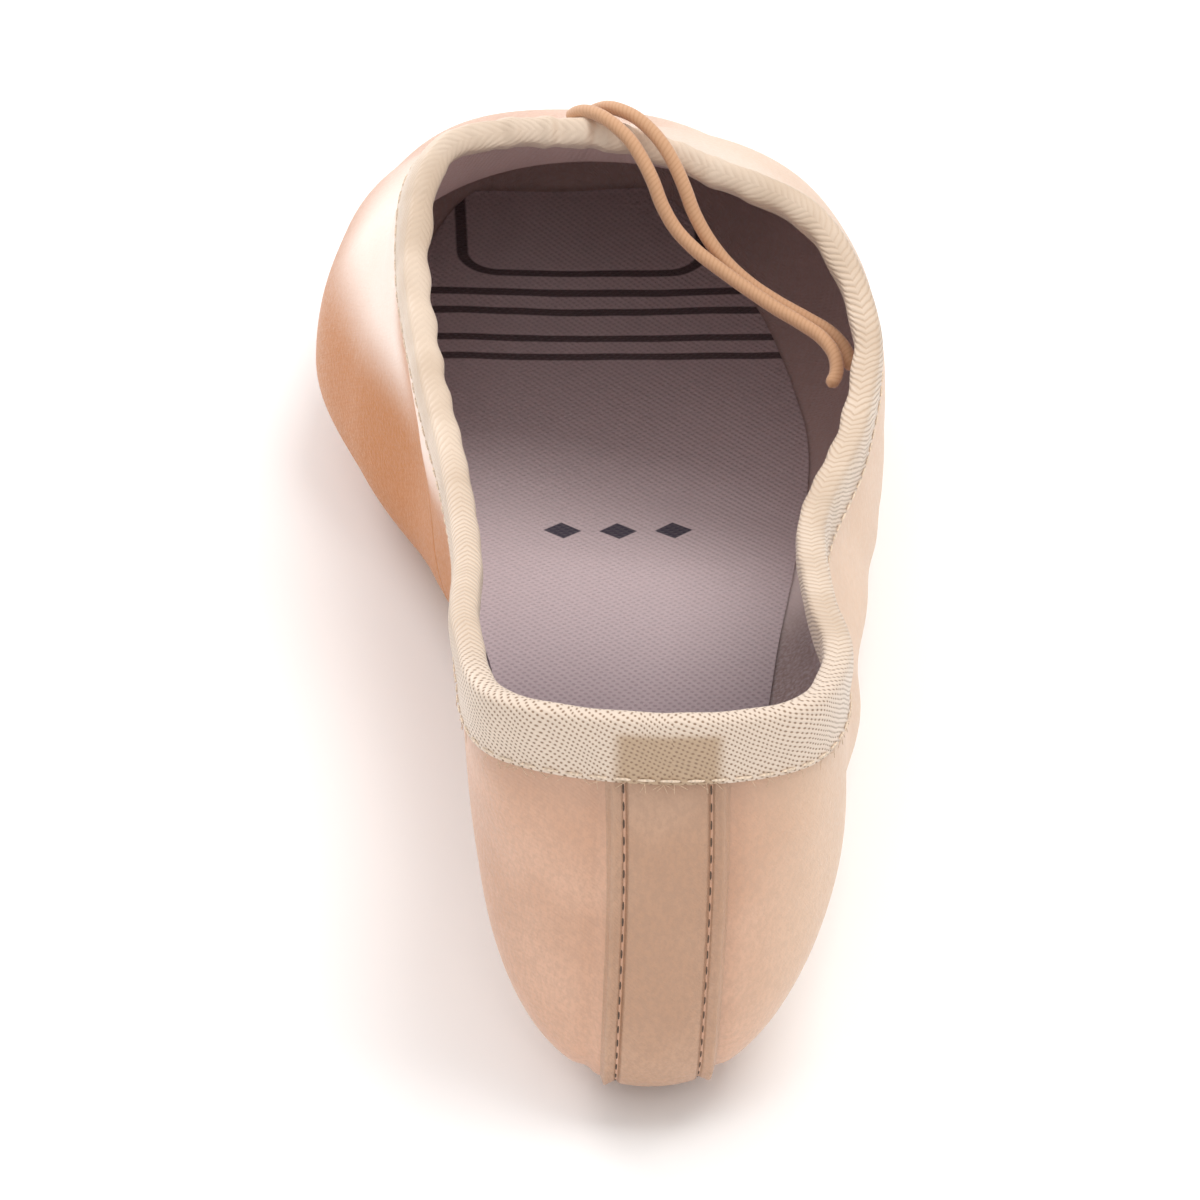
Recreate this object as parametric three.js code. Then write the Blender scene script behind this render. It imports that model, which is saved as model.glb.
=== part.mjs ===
// Pointe shoe, as a three.js scene graph in millimetres, +Z up, toe along +Y, standing on Z = 0.
// Every curved piece is taken from one description of the last: a table of cross-sections that
// gives the form the upper is pulled over, and a table of knots that gives the slack collar line.
import * as THREE from "three";

// ---- driving dimensions -------------------------------------------------------------------
const LENGTH = 246; // heel back to the flat of the platform
const BALL_WIDTH = 89; // outside of the box across the ball
const HEEL_HEIGHT = 66; // floor to the top edge of the quarters at the heel
const INSTEP = 72; // floor to the throat
const OUTSOLE = 2.7; // outsole leather
const INSOLE = 2.4; // insole board with its cloth sock
const GAP = 0.3; // between touching pieces
const QUARTER_WALL = 1.8; // satin, canvas and lining
const BOX_WALL = 3; // the stiffened layers of the box
const TAPE = 0.6; // binding tape
const BINDING_DEPTH = 8.5; // how far the tape reaches down each side of the wall
const CORD = 2.1; // drawstring diameter

const BED = OUTSOLE + GAP; // underside of the upper above the floor, where the shoe stands

// ---- the last -----------------------------------------------------------------------------
// at: share of LENGTH from the heel. half: half width, flat: half width of the flat underside,
// both as shares of BALL_WIDTH. fullest: height of the widest line, rise: lift of the underside
// above the bed, sway: how far the quarters lean over to the right, all in mm. top: crown of the
// section as a share of INSTEP. roundness: power of the superellipse above the widest line.
const SECTIONS = [
  { at: 0.104, half: 0.28, flat: 0.09, fullest: 43, rise: 0, sway: 1.3, top: 1.8, roundness: 2.7 },
  { at: 0.17, half: 0.288, flat: 0.12, fullest: 40, rise: 0, sway: 4.2, top: 1.79, roundness: 2.6 },
  { at: 0.245, half: 0.308, flat: 0.15, fullest: 36, rise: 1.6, sway: 7.2, top: 1.75, roundness: 2.5 },
  { at: 0.377, half: 0.344, flat: 0.18, fullest: 31, rise: 5, sway: 7.2, top: 1.5, roundness: 2.3 },
  { at: 0.49, half: 0.378, flat: 0.25, fullest: 26, rise: 3.4, sway: 6.8, top: 1.26, roundness: 2.2 },
  { at: 0.604, half: 0.46, flat: 0.315, fullest: 23, rise: 0.4, sway: 3.4, top: 1.03, roundness: 2.1 },
  { at: 0.69, half: 0.5, flat: 0.34, fullest: 21, rise: 0, sway: 1.6, top: 0.82, roundness: 2.1 },
  { at: 0.8, half: 0.462, flat: 0.31, fullest: 19.5, rise: 0, sway: 2, top: 0.665, roundness: 2.25 },
  { at: 0.91, half: 0.36, flat: 0.235, fullest: 18.5, rise: 1.4, sway: 1, top: 0.475, roundness: 2.4 },
  { at: 1, half: 0.25, flat: 0.16, fullest: 18, rise: 4, sway: 0, top: 0.38, roundness: 2.6 },
];
const HEEL_PIVOT = 26; // behind this the heel section turns about a vertical axis
const TOE_PIVOT = 210; // ahead of this the form closes to the platform
const PLATFORM_TILT = 0.08; // how much the platform leans back, per mm of height
const HEEL_LEAN = [
  { z: 0, back: 1.2 },
  { z: 26, back: 0 },
  { z: 44, back: 1 },
  { z: 62, back: 4.5 },
  { z: 120, back: 14 },
];
const LEAN_FADES = 60; // length over which the heel's lean dies away

// ---- the collar line ----------------------------------------------------------------------
// The top edge of the quarters and vamp, anticlockwise from the centre back. x is a share of
// BALL_WIDTH, y of LENGTH and z of HEEL_HEIGHT. spine: the place on the middle plane, as a share
// of LENGTH, from which the wall under this point is drawn.
const COLLAR = [
  { x: 0.005, y: 0.015, z: 0.975, spine: 0.113 },
  { x: 0.197, y: 0.03, z: 0.972, spine: 0.118 },
  { x: 0.27, y: 0.09, z: 0.94, spine: 0.142 },
  { x: 0.27, y: 0.183, z: 0.87, spine: 0.189 },
  { x: 0.287, y: 0.283, z: 0.81, spine: 0.283 },
  { x: 0.382, y: 0.394, z: 0.81, spine: 0.377 },
  { x: 0.416, y: 0.48, z: 0.88, spine: 0.434 },
  { x: 0.34, y: 0.556, z: 0.985, spine: 0.472 },
  { x: 0.185, y: 0.589, z: 1.035, spine: 0.49 },
  { x: 0, y: 0.612, z: 1.085, spine: 0.5 },
  { x: -0.27, y: 0.602, z: 1.068, spine: 0.486 },
  { x: -0.331, y: 0.537, z: 0.955, spine: 0.453 },
  { x: -0.32, y: 0.447, z: 0.856, spine: 0.406 },
  { x: -0.287, y: 0.349, z: 0.803, spine: 0.34 },
  { x: -0.275, y: 0.236, z: 0.84, spine: 0.24 },
  { x: -0.287, y: 0.123, z: 0.925, spine: 0.151 },
  { x: -0.242, y: 0.039, z: 0.97, spine: 0.118 },
];
const SPINE_HEIGHT = 20; // height of the spine over the floor
const SLACK_DEPTH = 34; // how far down the wall the slack collar pulls it off the last

// ---- the sole -----------------------------------------------------------------------------
const SOLE = [
  { at: 0.08, half: 10 },
  { at: 0.14, half: 11.5 },
  { at: 0.28, half: 11.5 },
  { at: 0.4, half: 13.5 },
  { at: 0.53, half: 20 },
  { at: 0.67, half: 26.5 },
  { at: 0.78, half: 25.5 },
  { at: 0.89, half: 18.5 },
  { at: 0.945, half: 14 },
];
const SOLE_HEEL_ROUND = 14; // length over which each end of the sole closes
const SOLE_TOE_ROUND = 15;
const LASTING_MARGIN = 6; // how far the upper reaches in under the outsole

// ---- mesh fineness ------------------------------------------------------------------------
const AROUND = 88;
const UP_WALL = 17;
const SOLE_STEPS = 30;

// ---- small tools --------------------------------------------------------------------------
const smooth = (a, b, t) => THREE.MathUtils.smoothstep(t, a, b);

// A smooth curve through one column of a table, as a function of another column, that turns
// only at the rows.
function column(rows, across, name, scale = 1) {
  const at = rows.map((row) => row[across]);
  const value = rows.map((row) => row[name] * scale);
  const secant = at.slice(1).map((end, i) => (value[i + 1] - value[i]) / (end - at[i]));
  const slope = at.map((_, i) => {
    const before = secant[Math.max(0, i - 1)];
    const after = secant[Math.min(secant.length - 1, i)];
    return before * after > 0 ? (2 * before * after) / (before + after) : 0;
  });
  return (x) => {
    const t = THREE.MathUtils.clamp(x, at[0], at.at(-1));
    let i = 0;
    while (i < at.length - 2 && t > at[i + 1]) i += 1;
    const step = at[i + 1] - at[i];
    const s = (t - at[i]) / step;
    const rest = 1 - s;
    return (
      value[i] * (1 + 2 * s) * rest * rest +
      slope[i] * step * s * rest * rest +
      value[i + 1] * (3 - 2 * s) * s * s -
      slope[i + 1] * step * rest * s * s
    );
  };
}

// The value in [low, high] where a rising function reaches zero.
function solve(low, high, rising) {
  for (let turn = 0; turn < 40; turn += 1) {
    const middle = (low + high) / 2;
    if (rising(middle) > 0) high = middle;
    else low = middle;
  }
  return (low + high) / 2;
}

// A closed solid from rows of points: each row is one closed loop of the section. The rows
// either close on themselves in a ring, or end in two caps.
function skin(rows, ring) {
  const across = rows[0].length;
  const points = rows.flat();
  const index = [];
  const steps = ring ? rows.length : rows.length - 1;
  for (let i = 0; i < steps; i += 1) {
    const next = (i + 1) % rows.length;
    for (let j = 0; j < across; j += 1) {
      const after = (j + 1) % across;
      const a = i * across + j;
      const b = i * across + after;
      const c = next * across + after;
      const d = next * across + j;
      index.push(a, b, c, a, c, d);
    }
  }
  if (!ring) {
    for (const end of [0, rows.length - 1]) {
      const centre = points.length;
      const middle = new THREE.Vector3();
      rows[end].forEach((p) => middle.addScaledVector(p, 1 / across));
      points.push(middle);
      for (let j = 0; j < across; j += 1) {
        const a = end * across + j;
        const b = end * across + ((j + 1) % across);
        index.push(...(end === 0 ? [centre, b, a] : [centre, a, b]));
      }
    }
  }
  let volume = 0;
  for (let k = 0; k < index.length; k += 3) {
    const [a, b, c] = [points[index[k]], points[index[k + 1]], points[index[k + 2]]];
    volume += a.dot(b.clone().cross(c));
  }
  if (volume < 0) index.reverse();
  const geometry = new THREE.BufferGeometry().setFromPoints(points);
  geometry.setIndex(index);
  geometry.computeVertexNormals();
  return geometry;
}

// ---- the form -----------------------------------------------------------------------------
const sectionHalf = column(SECTIONS, "at", "half", BALL_WIDTH);
const sectionFlat = column(SECTIONS, "at", "flat", BALL_WIDTH);
const sectionFullest = column(SECTIONS, "at", "fullest");
const sectionRise = column(SECTIONS, "at", "rise");
const sectionTop = column(SECTIONS, "at", "top", INSTEP);
const sectionRoundness = column(SECTIONS, "at", "roundness");
const sectionSway = column(SECTIONS, "at", "sway");
const heelLean = column(HEEL_LEAN, "z", "back");

const underside = (y) => BED + sectionRise(y / LENGTH);

const softMax = (a, b, power) => (a ** power + b ** power) ** (1 / power);
const FEATHER_EDGE = 16; // sharpness of the edge between the wall and the underside
const HEEL_EDGE = 5.2; // sharpness of the turn from the back of the heel to its underside
const PLATFORM_EDGE = 5; // sharpness of the edge round the platform

// The form's own measure: under 1 inside the last, 1 on it, over 1 outside.
function form(x, yWorld, z) {
  const y = yWorld - heelLean(z) * (1 - smooth(0, LEAN_FADES, yWorld));
  const at = Math.max(y, HEEL_PIVOT) / LENGTH;
  const half = sectionHalf(at);
  const flat = sectionFlat(at);
  const fullest = sectionFullest(at);
  const bottom = BED + sectionRise(at);
  const behind = Math.max(0, HEEL_PIVOT - y) / HEEL_PIVOT;
  const across = Math.abs(x - sectionSway(at) * smooth(0, fullest, z)) / half;
  const depth = (fullest - bottom) / Math.sqrt(1 - (flat / half) ** 2);
  const wall =
    z < fullest
      ? Math.hypot(across, softMax(behind, (fullest - z) / depth, HEEL_EDGE))
      : softMax(
          Math.hypot(across, behind),
          (z - fullest) / (sectionTop(at) - fullest),
          sectionRoundness(at),
        );
  const under = Math.max(0, fullest - z) / (fullest - bottom);
  const tipped = y + PLATFORM_TILT * (z - fullest);
  const front = Math.max(0, tipped - TOE_PIVOT) / (LENGTH - TOE_PIVOT);
  return softMax(softMax(wall, under, FEATHER_EDGE), front, PLATFORM_EDGE);
}

// The wall thickens from the quarters to the box between these shares of the length.
const BOX_STARTS = 0.585;
const BOX_FULL = 0.735;
const wallThickness = (y) =>
  QUARTER_WALL + (BOX_WALL - QUARTER_WALL) * smooth(BOX_STARTS, BOX_FULL, y / LENGTH);

// ---- the sole's outline -------------------------------------------------------------------
const soleHalf = column(SOLE, "at", "half");
const SOLE_START = SOLE[0].at * LENGTH;
const SOLE_END = SOLE.at(-1).at * LENGTH;

// Half width of the sole at y, drawn in by inset all round, or 0 beyond its ends.
function soleOutline(y, inset = 0) {
  const start = SOLE_START + inset;
  const end = SOLE_END - inset;
  if (y <= start || y >= end) return 0;
  const heel = Math.min(1, (y - start) / SOLE_HEEL_ROUND);
  const toe = Math.min(1, (end - y) / SOLE_TOE_ROUND);
  const close = Math.sqrt(1 - (1 - heel) ** 2) * Math.sqrt(1 - (1 - toe) ** 2);
  return (soleHalf(y / LENGTH) - inset) * close;
}

// ---- the upper's surface ------------------------------------------------------------------
const DEGREES = Math.PI / 180;
const collarPoint = new THREE.CatmullRomCurve3(
  COLLAR.map((k) => new THREE.Vector3(k.x * BALL_WIDTH, k.y * LENGTH, k.z * HEEL_HEIGHT)),
  true,
);
const spinePoint = new THREE.CatmullRomCurve3(
  COLLAR.map((k) => new THREE.Vector3(0, k.spine * LENGTH, SPINE_HEIGHT)),
  true,
);

// The ray at one place on the collar line: where it starts, and the way it faces in plan.
function rayAt(share) {
  const knot = collarPoint.getPoint(share);
  const core = spinePoint.getPoint(share);
  const out = knot.clone().sub(core).setZ(0).normalize();
  return { knot, out, core };
}

// Where a ray at this angle above the horizontal meets the form.
function hit({ out, core }, angle) {
  const way = out.clone().multiplyScalar(Math.cos(angle)).setZ(Math.sin(angle));
  const reach = solve(0, LENGTH, (r) => {
    const p = core.clone().addScaledVector(way, r);
    return form(p.x, p.y, p.z) - 1;
  });
  return core.clone().addScaledVector(way, reach);
}

// One line up the upper, from the lasting margin under the sole to the collar, as many points
// evenly spaced. The last few centimetres leave the form for the slack collar.
function meridian(share, count) {
  const ray = rayAt(share);
  const margin = solve(0, LENGTH, (r) => {
    const p = ray.core.clone().addScaledVector(ray.out, r);
    return Math.abs(p.x) + 0.1 - soleOutline(p.y, LASTING_MARGIN);
  });
  const upright = 89 * DEGREES;
  const lowest = solve(-upright, 0, (a) => {
    const p = hit(ray, a).sub(ray.core);
    return Math.hypot(p.x, p.y) - margin;
  });
  let highest = 0;
  while (highest < upright && hit(ray, highest).z < ray.knot.z) highest += 2 * DEGREES;
  highest = solve(highest - 2 * DEGREES, highest, (a) => hit(ray, a).z - ray.knot.z);
  const fine = 60;
  const line = [];
  for (let k = 0; k <= fine; k += 1) line.push(hit(ray, lowest + ((highest - lowest) * k) / fine));
  const along = [0];
  for (let k = 1; k <= fine; k += 1) along.push(along[k - 1] + line[k].distanceTo(line[k - 1]));
  const slack = ray.knot.clone().sub(line[fine]);
  line.forEach((p, k) => {
    const fromTop = along[fine] - along[k];
    p.addScaledVector(slack, 1 - smooth(0, SLACK_DEPTH, fromTop));
  });
  return resample(line, count);
}

// The same polyline with count points, evenly spaced along it.
function resample(line, count) {
  const along = [0];
  for (let k = 1; k < line.length; k += 1) along.push(along[k - 1] + line[k].distanceTo(line[k - 1]));
  const made = [];
  let k = 0;
  for (let j = 0; j < count; j += 1) {
    const wanted = (along.at(-1) * j) / (count - 1);
    while (k < line.length - 2 && along[k + 1] < wanted) k += 1;
    const t = (wanted - along[k]) / (along[k + 1] - along[k]);
    made.push(line[k].clone().lerp(line[k + 1], t));
  }
  return made;
}

// Places round the shoe, spaced evenly by the length of the collar and of the widest line.
function placesRound(count) {
  const fine = 480;
  const along = [0];
  let before = null;
  for (let k = 0; k <= fine; k += 1) {
    const ray = rayAt((k % fine) / fine);
    const wide = hit(ray, 0);
    if (before) {
      along.push(along[k - 1] + wide.distanceTo(before.wide) + ray.knot.distanceTo(before.knot));
    }
    before = { wide, knot: ray.knot };
  }
  const places = [];
  let k = 0;
  for (let i = 0; i < count; i += 1) {
    const wanted = (along[fine] * i) / count;
    while (along[k + 1] < wanted) k += 1;
    places.push((k + (wanted - along[k]) / (along[k + 1] - along[k])) / fine);
  }
  return places;
}

const grid = placesRound(AROUND).map((share) => meridian(share, UP_WALL));

// Outward normals of the grid.
const normals = grid.map((line, i) =>
  line.map((_, j) => {
    const east = grid[(i + 1) % AROUND][j];
    const west = grid[(i + AROUND - 1) % AROUND][j];
    const above = line[Math.min(j + 1, UP_WALL - 1)];
    const below = line[Math.max(j - 1, 0)];
    return new THREE.Vector3()
      .subVectors(east, west)
      .cross(new THREE.Vector3().subVectors(above, below))
      .normalize();
  }),
);

// The surface at line i, a distance down from the collar edge, moved out by offset. An offset
// in the wall is measured from the outer face.
function onWall(i, down, offset) {
  const line = grid[i];
  let j = UP_WALL - 1;
  let left = down;
  while (j > 1 && line[j].distanceTo(line[j - 1]) < left) {
    left -= line[j].distanceTo(line[j - 1]);
    j -= 1;
  }
  const t = left / line[j].distanceTo(line[j - 1]);
  const normal = normals[i][j].clone().lerp(normals[i][j - 1], t).normalize();
  return line[j].clone().lerp(line[j - 1], t).addScaledVector(normal, offset);
}

// ---- the pieces ---------------------------------------------------------------------------
function upper() {
  return skin(
    grid.map((line, i) => {
      const inner = line.map((p, j) => p.clone().addScaledVector(normals[i][j], -wallThickness(p.y)));
      return [...line, ...inner.reverse()];
    }),
    true,
  );
}

// Tape folded over the collar edge: a channel that follows both faces of the wall.
function binding() {
  const downs = [1, 2 / 3, 1 / 3, 0].map((share) => share * BINDING_DEPTH);
  return skin(
    grid.map((line, i) => {
      const top = line[UP_WALL - 1];
      const up = top.clone().sub(line[UP_WALL - 2]).normalize();
      const wall = wallThickness(top.y);
      const crown = (rise) => onWall(i, 0, -wall / 2).addScaledVector(up, rise);
      const outer = GAP + TAPE;
      return [
        ...downs.map((d) => onWall(i, d, outer)),
        crown(outer + TAPE),
        ...downs.toReversed().map((d) => onWall(i, d, -wall - outer)),
        ...downs.map((d) => onWall(i, d, -wall - GAP)),
        crown(GAP + TAPE),
        ...downs.toReversed().map((d) => onWall(i, d, GAP)),
      ];
    }),
    true,
  );
}

// y values from start to end, closer together near both ends.
function stations(start, end, count) {
  return Array.from({ length: count + 1 }, (_, k) => {
    const turn = 0.5 - 0.5 * Math.cos((Math.PI * k) / count);
    return THREE.MathUtils.lerp(start, end, turn);
  });
}

function outsole() {
  const end = 0.15;
  const bevel = 0.6;
  return skin(
    stations(SOLE_START + end, SOLE_END - end, SOLE_STEPS).map((y) => {
      const half = soleOutline(y);
      const top = underside(y) - GAP;
      const bottom = top - OUTSOLE;
      const edge = Math.max(half - bevel, half / 2);
      return [
        [-half, top],
        [half, top],
        [half, bottom + bevel],
        [edge, bottom],
        [-edge, bottom],
        [-half, bottom + bevel],
      ].map(([x, z]) => new THREE.Vector3(x, y, z));
    }),
    false,
  );
}

// Board and sock in one: a slab that lies on the lasting margin, its rim against the wall.
function insole() {
  const clear = GAP + 0.1;
  const inner = grid.map((line, i) =>
    line.map((p, j) => p.clone().addScaledVector(normals[i][j], -wallThickness(p.y) - clear)),
  );
  const above = (p) => p.z - underside(p.y) - QUARTER_WALL - clear;
  const rim = (i, up) => {
    const line = inner[(i + AROUND) % AROUND];
    let j = 0;
    while (above(line[j + 1]) < up) j += 1;
    const [low, high] = [above(line[j]), above(line[j + 1])];
    return line[j].clone().lerp(line[j + 1], THREE.MathUtils.clamp((up - low) / (high - low), 0, 1));
  };
  const rows = [];
  const foot = BOX_WALL - QUARTER_WALL + clear;
  for (let i = 2; i < AROUND / 2 - 1; i += 1) {
    rows.push([rim(i, foot), rim(i, foot + INSOLE), rim(-i, foot + INSOLE), rim(-i, foot)]);
  }
  return skin(rows, false);
}

// ---- the drawstring -----------------------------------------------------------------------
// Its two ends leave the casing at the middle of the throat, cross the binding side by side and
// swing over to the right quarter, where they rest.
const UPPER_END = [
  [-2.1, 157.2, 70.6],
  [-1.2, 155.2, 72.3],
  [0.2, 153.0, 73.8],
  [1.9, 150.8, 74.5],
  [4.0, 148.6, 74.5],
  [6.1, 146.4, 73.6],
  [8.1, 144.0, 72.0],
  [9.7, 142.2, 69.7],
  [11.1, 140.6, 66.9],
  [12.5, 139.2, 63.6],
  [14.6, 137.6, 60.2],
  [17.4, 135.8, 57.1],
  [20.9, 133.4, 54.8],
  [25.0, 130.6, 53.2],
  [28.8, 127.6, 52.4],
  [32.0, 124.6, 51.8],
  [34.1, 121.4, 50.7],
  [34.9, 118.2, 49.1],
];
const LOWER_END = [
  [-5.3, 155.9, 70.7],
  [-4.1, 153.6, 72.7],
  [-2.7, 151.6, 73.8],
  [-0.9, 149.3, 74.2],
  [1.0, 147.0, 73.8],
  [3.0, 144.7, 72.7],
  [4.8, 142.6, 70.6],
  [6.3, 140.8, 68.1],
  [7.7, 139.2, 64.9],
  [9.8, 137.6, 61.7],
  [12.8, 135.6, 59.2],
  [16.5, 133.2, 57.2],
  [20.4, 130.4, 55.5],
  [24.3, 127.4, 54.1],
  [27.8, 124.4, 53.3],
  [30.7, 121.4, 52.5],
  [32.3, 118.6, 51.2],
  [32.4, 116.4, 49.6],
  [31.3, 114.6, 48.3],
];
const CORD_SIDES = 8;

function drawstring(points) {
  const path = new THREE.CatmullRomCurve3(points.map((p) => new THREE.Vector3(...p)));
  const section = new THREE.Shape();
  section.absarc(0, 0, CORD / 2, 0, 2 * Math.PI);
  return new THREE.ExtrudeGeometry(section, {
    steps: points.length,
    curveSegments: CORD_SIDES,
    extrudePath: path,
  });
}

// ---- the scene ----------------------------------------------------------------------------
function piece(name, geometry, color, roughness) {
  const material = new THREE.MeshStandardMaterial({ color, roughness, metalness: 0 });
  const mesh = new THREE.Mesh(geometry, material);
  mesh.name = name;
  return mesh;
}

const shoe = new THREE.Group();
shoe.add(
  piece("outsole", outsole(), 0xb99b7a, 0.8),
  piece("insole", insole(), 0xb9b0b8, 0.9),
  piece("upper", upper(), 0xe6bfa3, 0.45),
  piece("collar_binding", binding(), 0xe3d2b8, 0.6),
  piece("drawstring_upper_end", drawstring(UPPER_END), 0xd9ab85, 0.7),
  piece("drawstring_lower_end", drawstring(LOWER_END), 0xd9ab85, 0.7),
);

// The frame's origin is on the floor, under the middle of the shoe.
const extent = new THREE.Box3().setFromObject(shoe);
const centre = extent.getCenter(new THREE.Vector3());
shoe.position.set(-centre.x, -centre.y, -extent.min.z);

export default shoe;
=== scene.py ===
"""A satin pointe shoe: the fine surfaces, cloth, stitches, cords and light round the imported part.

The shoe is drawn in millimetres on its last, heel back at y = 0 and toe along +Y, standing on
z = 0, and place() puts the points into the frame, in metres.
"""

import math

import bpy
import numpy as np
from mathutils import Matrix, Vector


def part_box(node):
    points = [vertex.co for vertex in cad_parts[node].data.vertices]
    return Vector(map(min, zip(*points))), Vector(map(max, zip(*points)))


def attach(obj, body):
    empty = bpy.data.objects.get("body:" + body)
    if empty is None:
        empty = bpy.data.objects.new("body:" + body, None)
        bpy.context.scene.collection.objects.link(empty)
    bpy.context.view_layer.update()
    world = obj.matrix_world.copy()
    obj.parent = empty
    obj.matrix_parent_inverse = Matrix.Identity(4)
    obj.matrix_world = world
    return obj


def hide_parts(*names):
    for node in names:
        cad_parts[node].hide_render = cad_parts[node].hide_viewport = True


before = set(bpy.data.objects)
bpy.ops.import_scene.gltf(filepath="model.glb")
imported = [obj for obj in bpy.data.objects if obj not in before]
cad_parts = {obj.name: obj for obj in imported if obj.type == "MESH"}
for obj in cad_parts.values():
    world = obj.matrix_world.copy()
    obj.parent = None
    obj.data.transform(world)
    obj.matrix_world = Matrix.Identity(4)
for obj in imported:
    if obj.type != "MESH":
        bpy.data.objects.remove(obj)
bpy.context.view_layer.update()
MM = 0.001

# ---- driving dimensions, as in the part ---------------------------------------------------
LENGTH = 246
BALL_WIDTH = 89
HEEL_HEIGHT = 66
INSTEP = 72
OUTSOLE = 2.7
INSOLE = 2.4
GAP = 0.3
QUARTER_WALL = 1.8
BOX_WALL = 3
BOX_STARTS = 0.585  # shares of the length between which the wall thickens
BOX_FULL = 0.735
CORD = 2.1
BED = OUTSOLE + GAP

SECTION_COLUMNS = ("at", "half", "flat", "fullest", "rise", "sway", "top", "roundness")
SECTIONS = [
    (0.104, 0.28, 0.09, 43, 0, 1.3, 1.8, 2.7),
    (0.17, 0.288, 0.12, 40, 0, 4.2, 1.79, 2.6),
    (0.245, 0.308, 0.15, 36, 1.6, 7.2, 1.75, 2.5),
    (0.377, 0.344, 0.18, 31, 5, 7.2, 1.5, 2.3),
    (0.49, 0.378, 0.25, 26, 3.4, 6.8, 1.26, 2.2),
    (0.604, 0.46, 0.315, 23, 0.4, 3.4, 1.03, 2.1),
    (0.69, 0.5, 0.34, 21, 0, 1.6, 0.82, 2.1),
    (0.8, 0.462, 0.31, 19.5, 0, 2, 0.665, 2.25),
    (0.91, 0.36, 0.235, 18.5, 1.4, 1, 0.475, 2.4),
    (1, 0.25, 0.16, 18, 4, 0, 0.38, 2.6),
]
HEEL_PIVOT = 26
TOE_PIVOT = 210
PLATFORM_TILT = 0.08
HEEL_LEAN_COLUMNS = ("z", "back")
HEEL_LEAN = [(0, 1.2), (26, 0), (44, 1), (62, 4.5), (120, 14)]
LEAN_FADES = 60
FEATHER_EDGE = 16
HEEL_EDGE = 5.2
PLATFORM_EDGE = 5

COLLAR_COLUMNS = ("x", "y", "z", "spine")
COLLAR = [
    (0.005, 0.015, 0.975, 0.113),
    (0.197, 0.03, 0.972, 0.118),
    (0.27, 0.09, 0.94, 0.142),
    (0.27, 0.183, 0.87, 0.189),
    (0.287, 0.283, 0.81, 0.283),
    (0.382, 0.394, 0.81, 0.377),
    (0.416, 0.48, 0.88, 0.434),
    (0.34, 0.556, 0.985, 0.472),
    (0.185, 0.589, 1.035, 0.49),
    (0, 0.612, 1.085, 0.5),
    (-0.27, 0.602, 1.068, 0.486),
    (-0.331, 0.537, 0.955, 0.453),
    (-0.32, 0.447, 0.856, 0.406),
    (-0.287, 0.349, 0.803, 0.34),
    (-0.275, 0.236, 0.84, 0.24),
    (-0.287, 0.123, 0.925, 0.151),
    (-0.242, 0.039, 0.97, 0.118),
]
SPINE_HEIGHT = 20
SLACK_DEPTH = 34

SOLE_COLUMNS = ("at", "half")
SOLE = [
    (0.08, 10),
    (0.14, 11.5),
    (0.28, 11.5),
    (0.4, 13.5),
    (0.53, 20),
    (0.67, 26.5),
    (0.78, 25.5),
    (0.89, 18.5),
    (0.945, 14),
]
SOLE_HEEL_ROUND = 14
SOLE_TOE_ROUND = 15
LASTING_MARGIN = 6

# Middle lines of the drawstring's ends, from the buttonhole to the tip: x, y, z on the last.
UPPER_END = [
    (-2.1, 157.2, 70.6),
    (-1.2, 155.2, 72.3),
    (0.2, 153.0, 73.8),
    (1.9, 150.8, 74.5),
    (4.0, 148.6, 74.5),
    (6.1, 146.4, 73.6),
    (8.1, 144.0, 72.0),
    (9.7, 142.2, 69.7),
    (11.1, 140.6, 66.9),
    (12.5, 139.2, 63.6),
    (14.6, 137.6, 60.2),
    (17.4, 135.8, 57.1),
    (20.9, 133.4, 54.8),
    (25.0, 130.6, 53.2),
    (28.8, 127.6, 52.4),
    (32.0, 124.6, 51.8),
    (34.1, 121.4, 50.7),
    (34.9, 118.2, 49.1),
]
LOWER_END = [
    (-5.3, 155.9, 70.7),
    (-4.1, 153.6, 72.7),
    (-2.7, 151.6, 73.8),
    (-0.9, 149.3, 74.2),
    (1.0, 147.0, 73.8),
    (3.0, 144.7, 72.7),
    (4.8, 142.6, 70.6),
    (6.3, 140.8, 68.1),
    (7.7, 139.2, 64.9),
    (9.8, 137.6, 61.7),
    (12.8, 135.6, 59.2),
    (16.5, 133.2, 57.2),
    (20.4, 130.4, 55.5),
    (24.3, 127.4, 54.1),
    (27.8, 124.4, 53.3),
    (30.7, 121.4, 52.5),
    (32.3, 118.6, 51.2),
    (32.4, 116.4, 49.6),
    (31.3, 114.6, 48.3),
]

# ---- fineness -----------------------------------------------------------------------------
AROUND = 560
FINE_UP = 200
BISECTIONS = 24
SATIN_ROWS = 130
LINING_ROWS = 70
BACK_ROWS = 30
TAPE_STATIONS = 1400

# ---- cloth ---------------------------------------------------------------------------------
SATIN = 0.9
TAPE = 0.6
TAPE_OUTSIDE = 7.9  # how far the tape reaches down the outside at the heel
TAPE_OUTSIDE_SIDES = 6.3
TAPE_INSIDE = 5.6
TAPE_INSIDE_THROAT = 3.4
TAPE_SWELL = 0.3
CASING = 0.35
CROWN_RISE = 1.15
STRIP_WIDTH = 15
STRIP_LEAN = 1.0  # how far the strip wanders to the right on its way down

# ---- where the shoe is in the frame --------------------------------------------------------
SOLE_END_TRIM = 0.15
sole_low, sole_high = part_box("outsole")
ORIGIN = np.array(
    [
        -(sole_low.x + sole_high.x) / 2 / MM,
        SOLE[0][0] * LENGTH + SOLE_END_TRIM - sole_low.y / MM,
        0,
    ]
)


def place(points):
    """Points of the last, in millimetres, as points of the frame, in metres."""
    return (np.asarray(points, float) - ORIGIN) * MM


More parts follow.
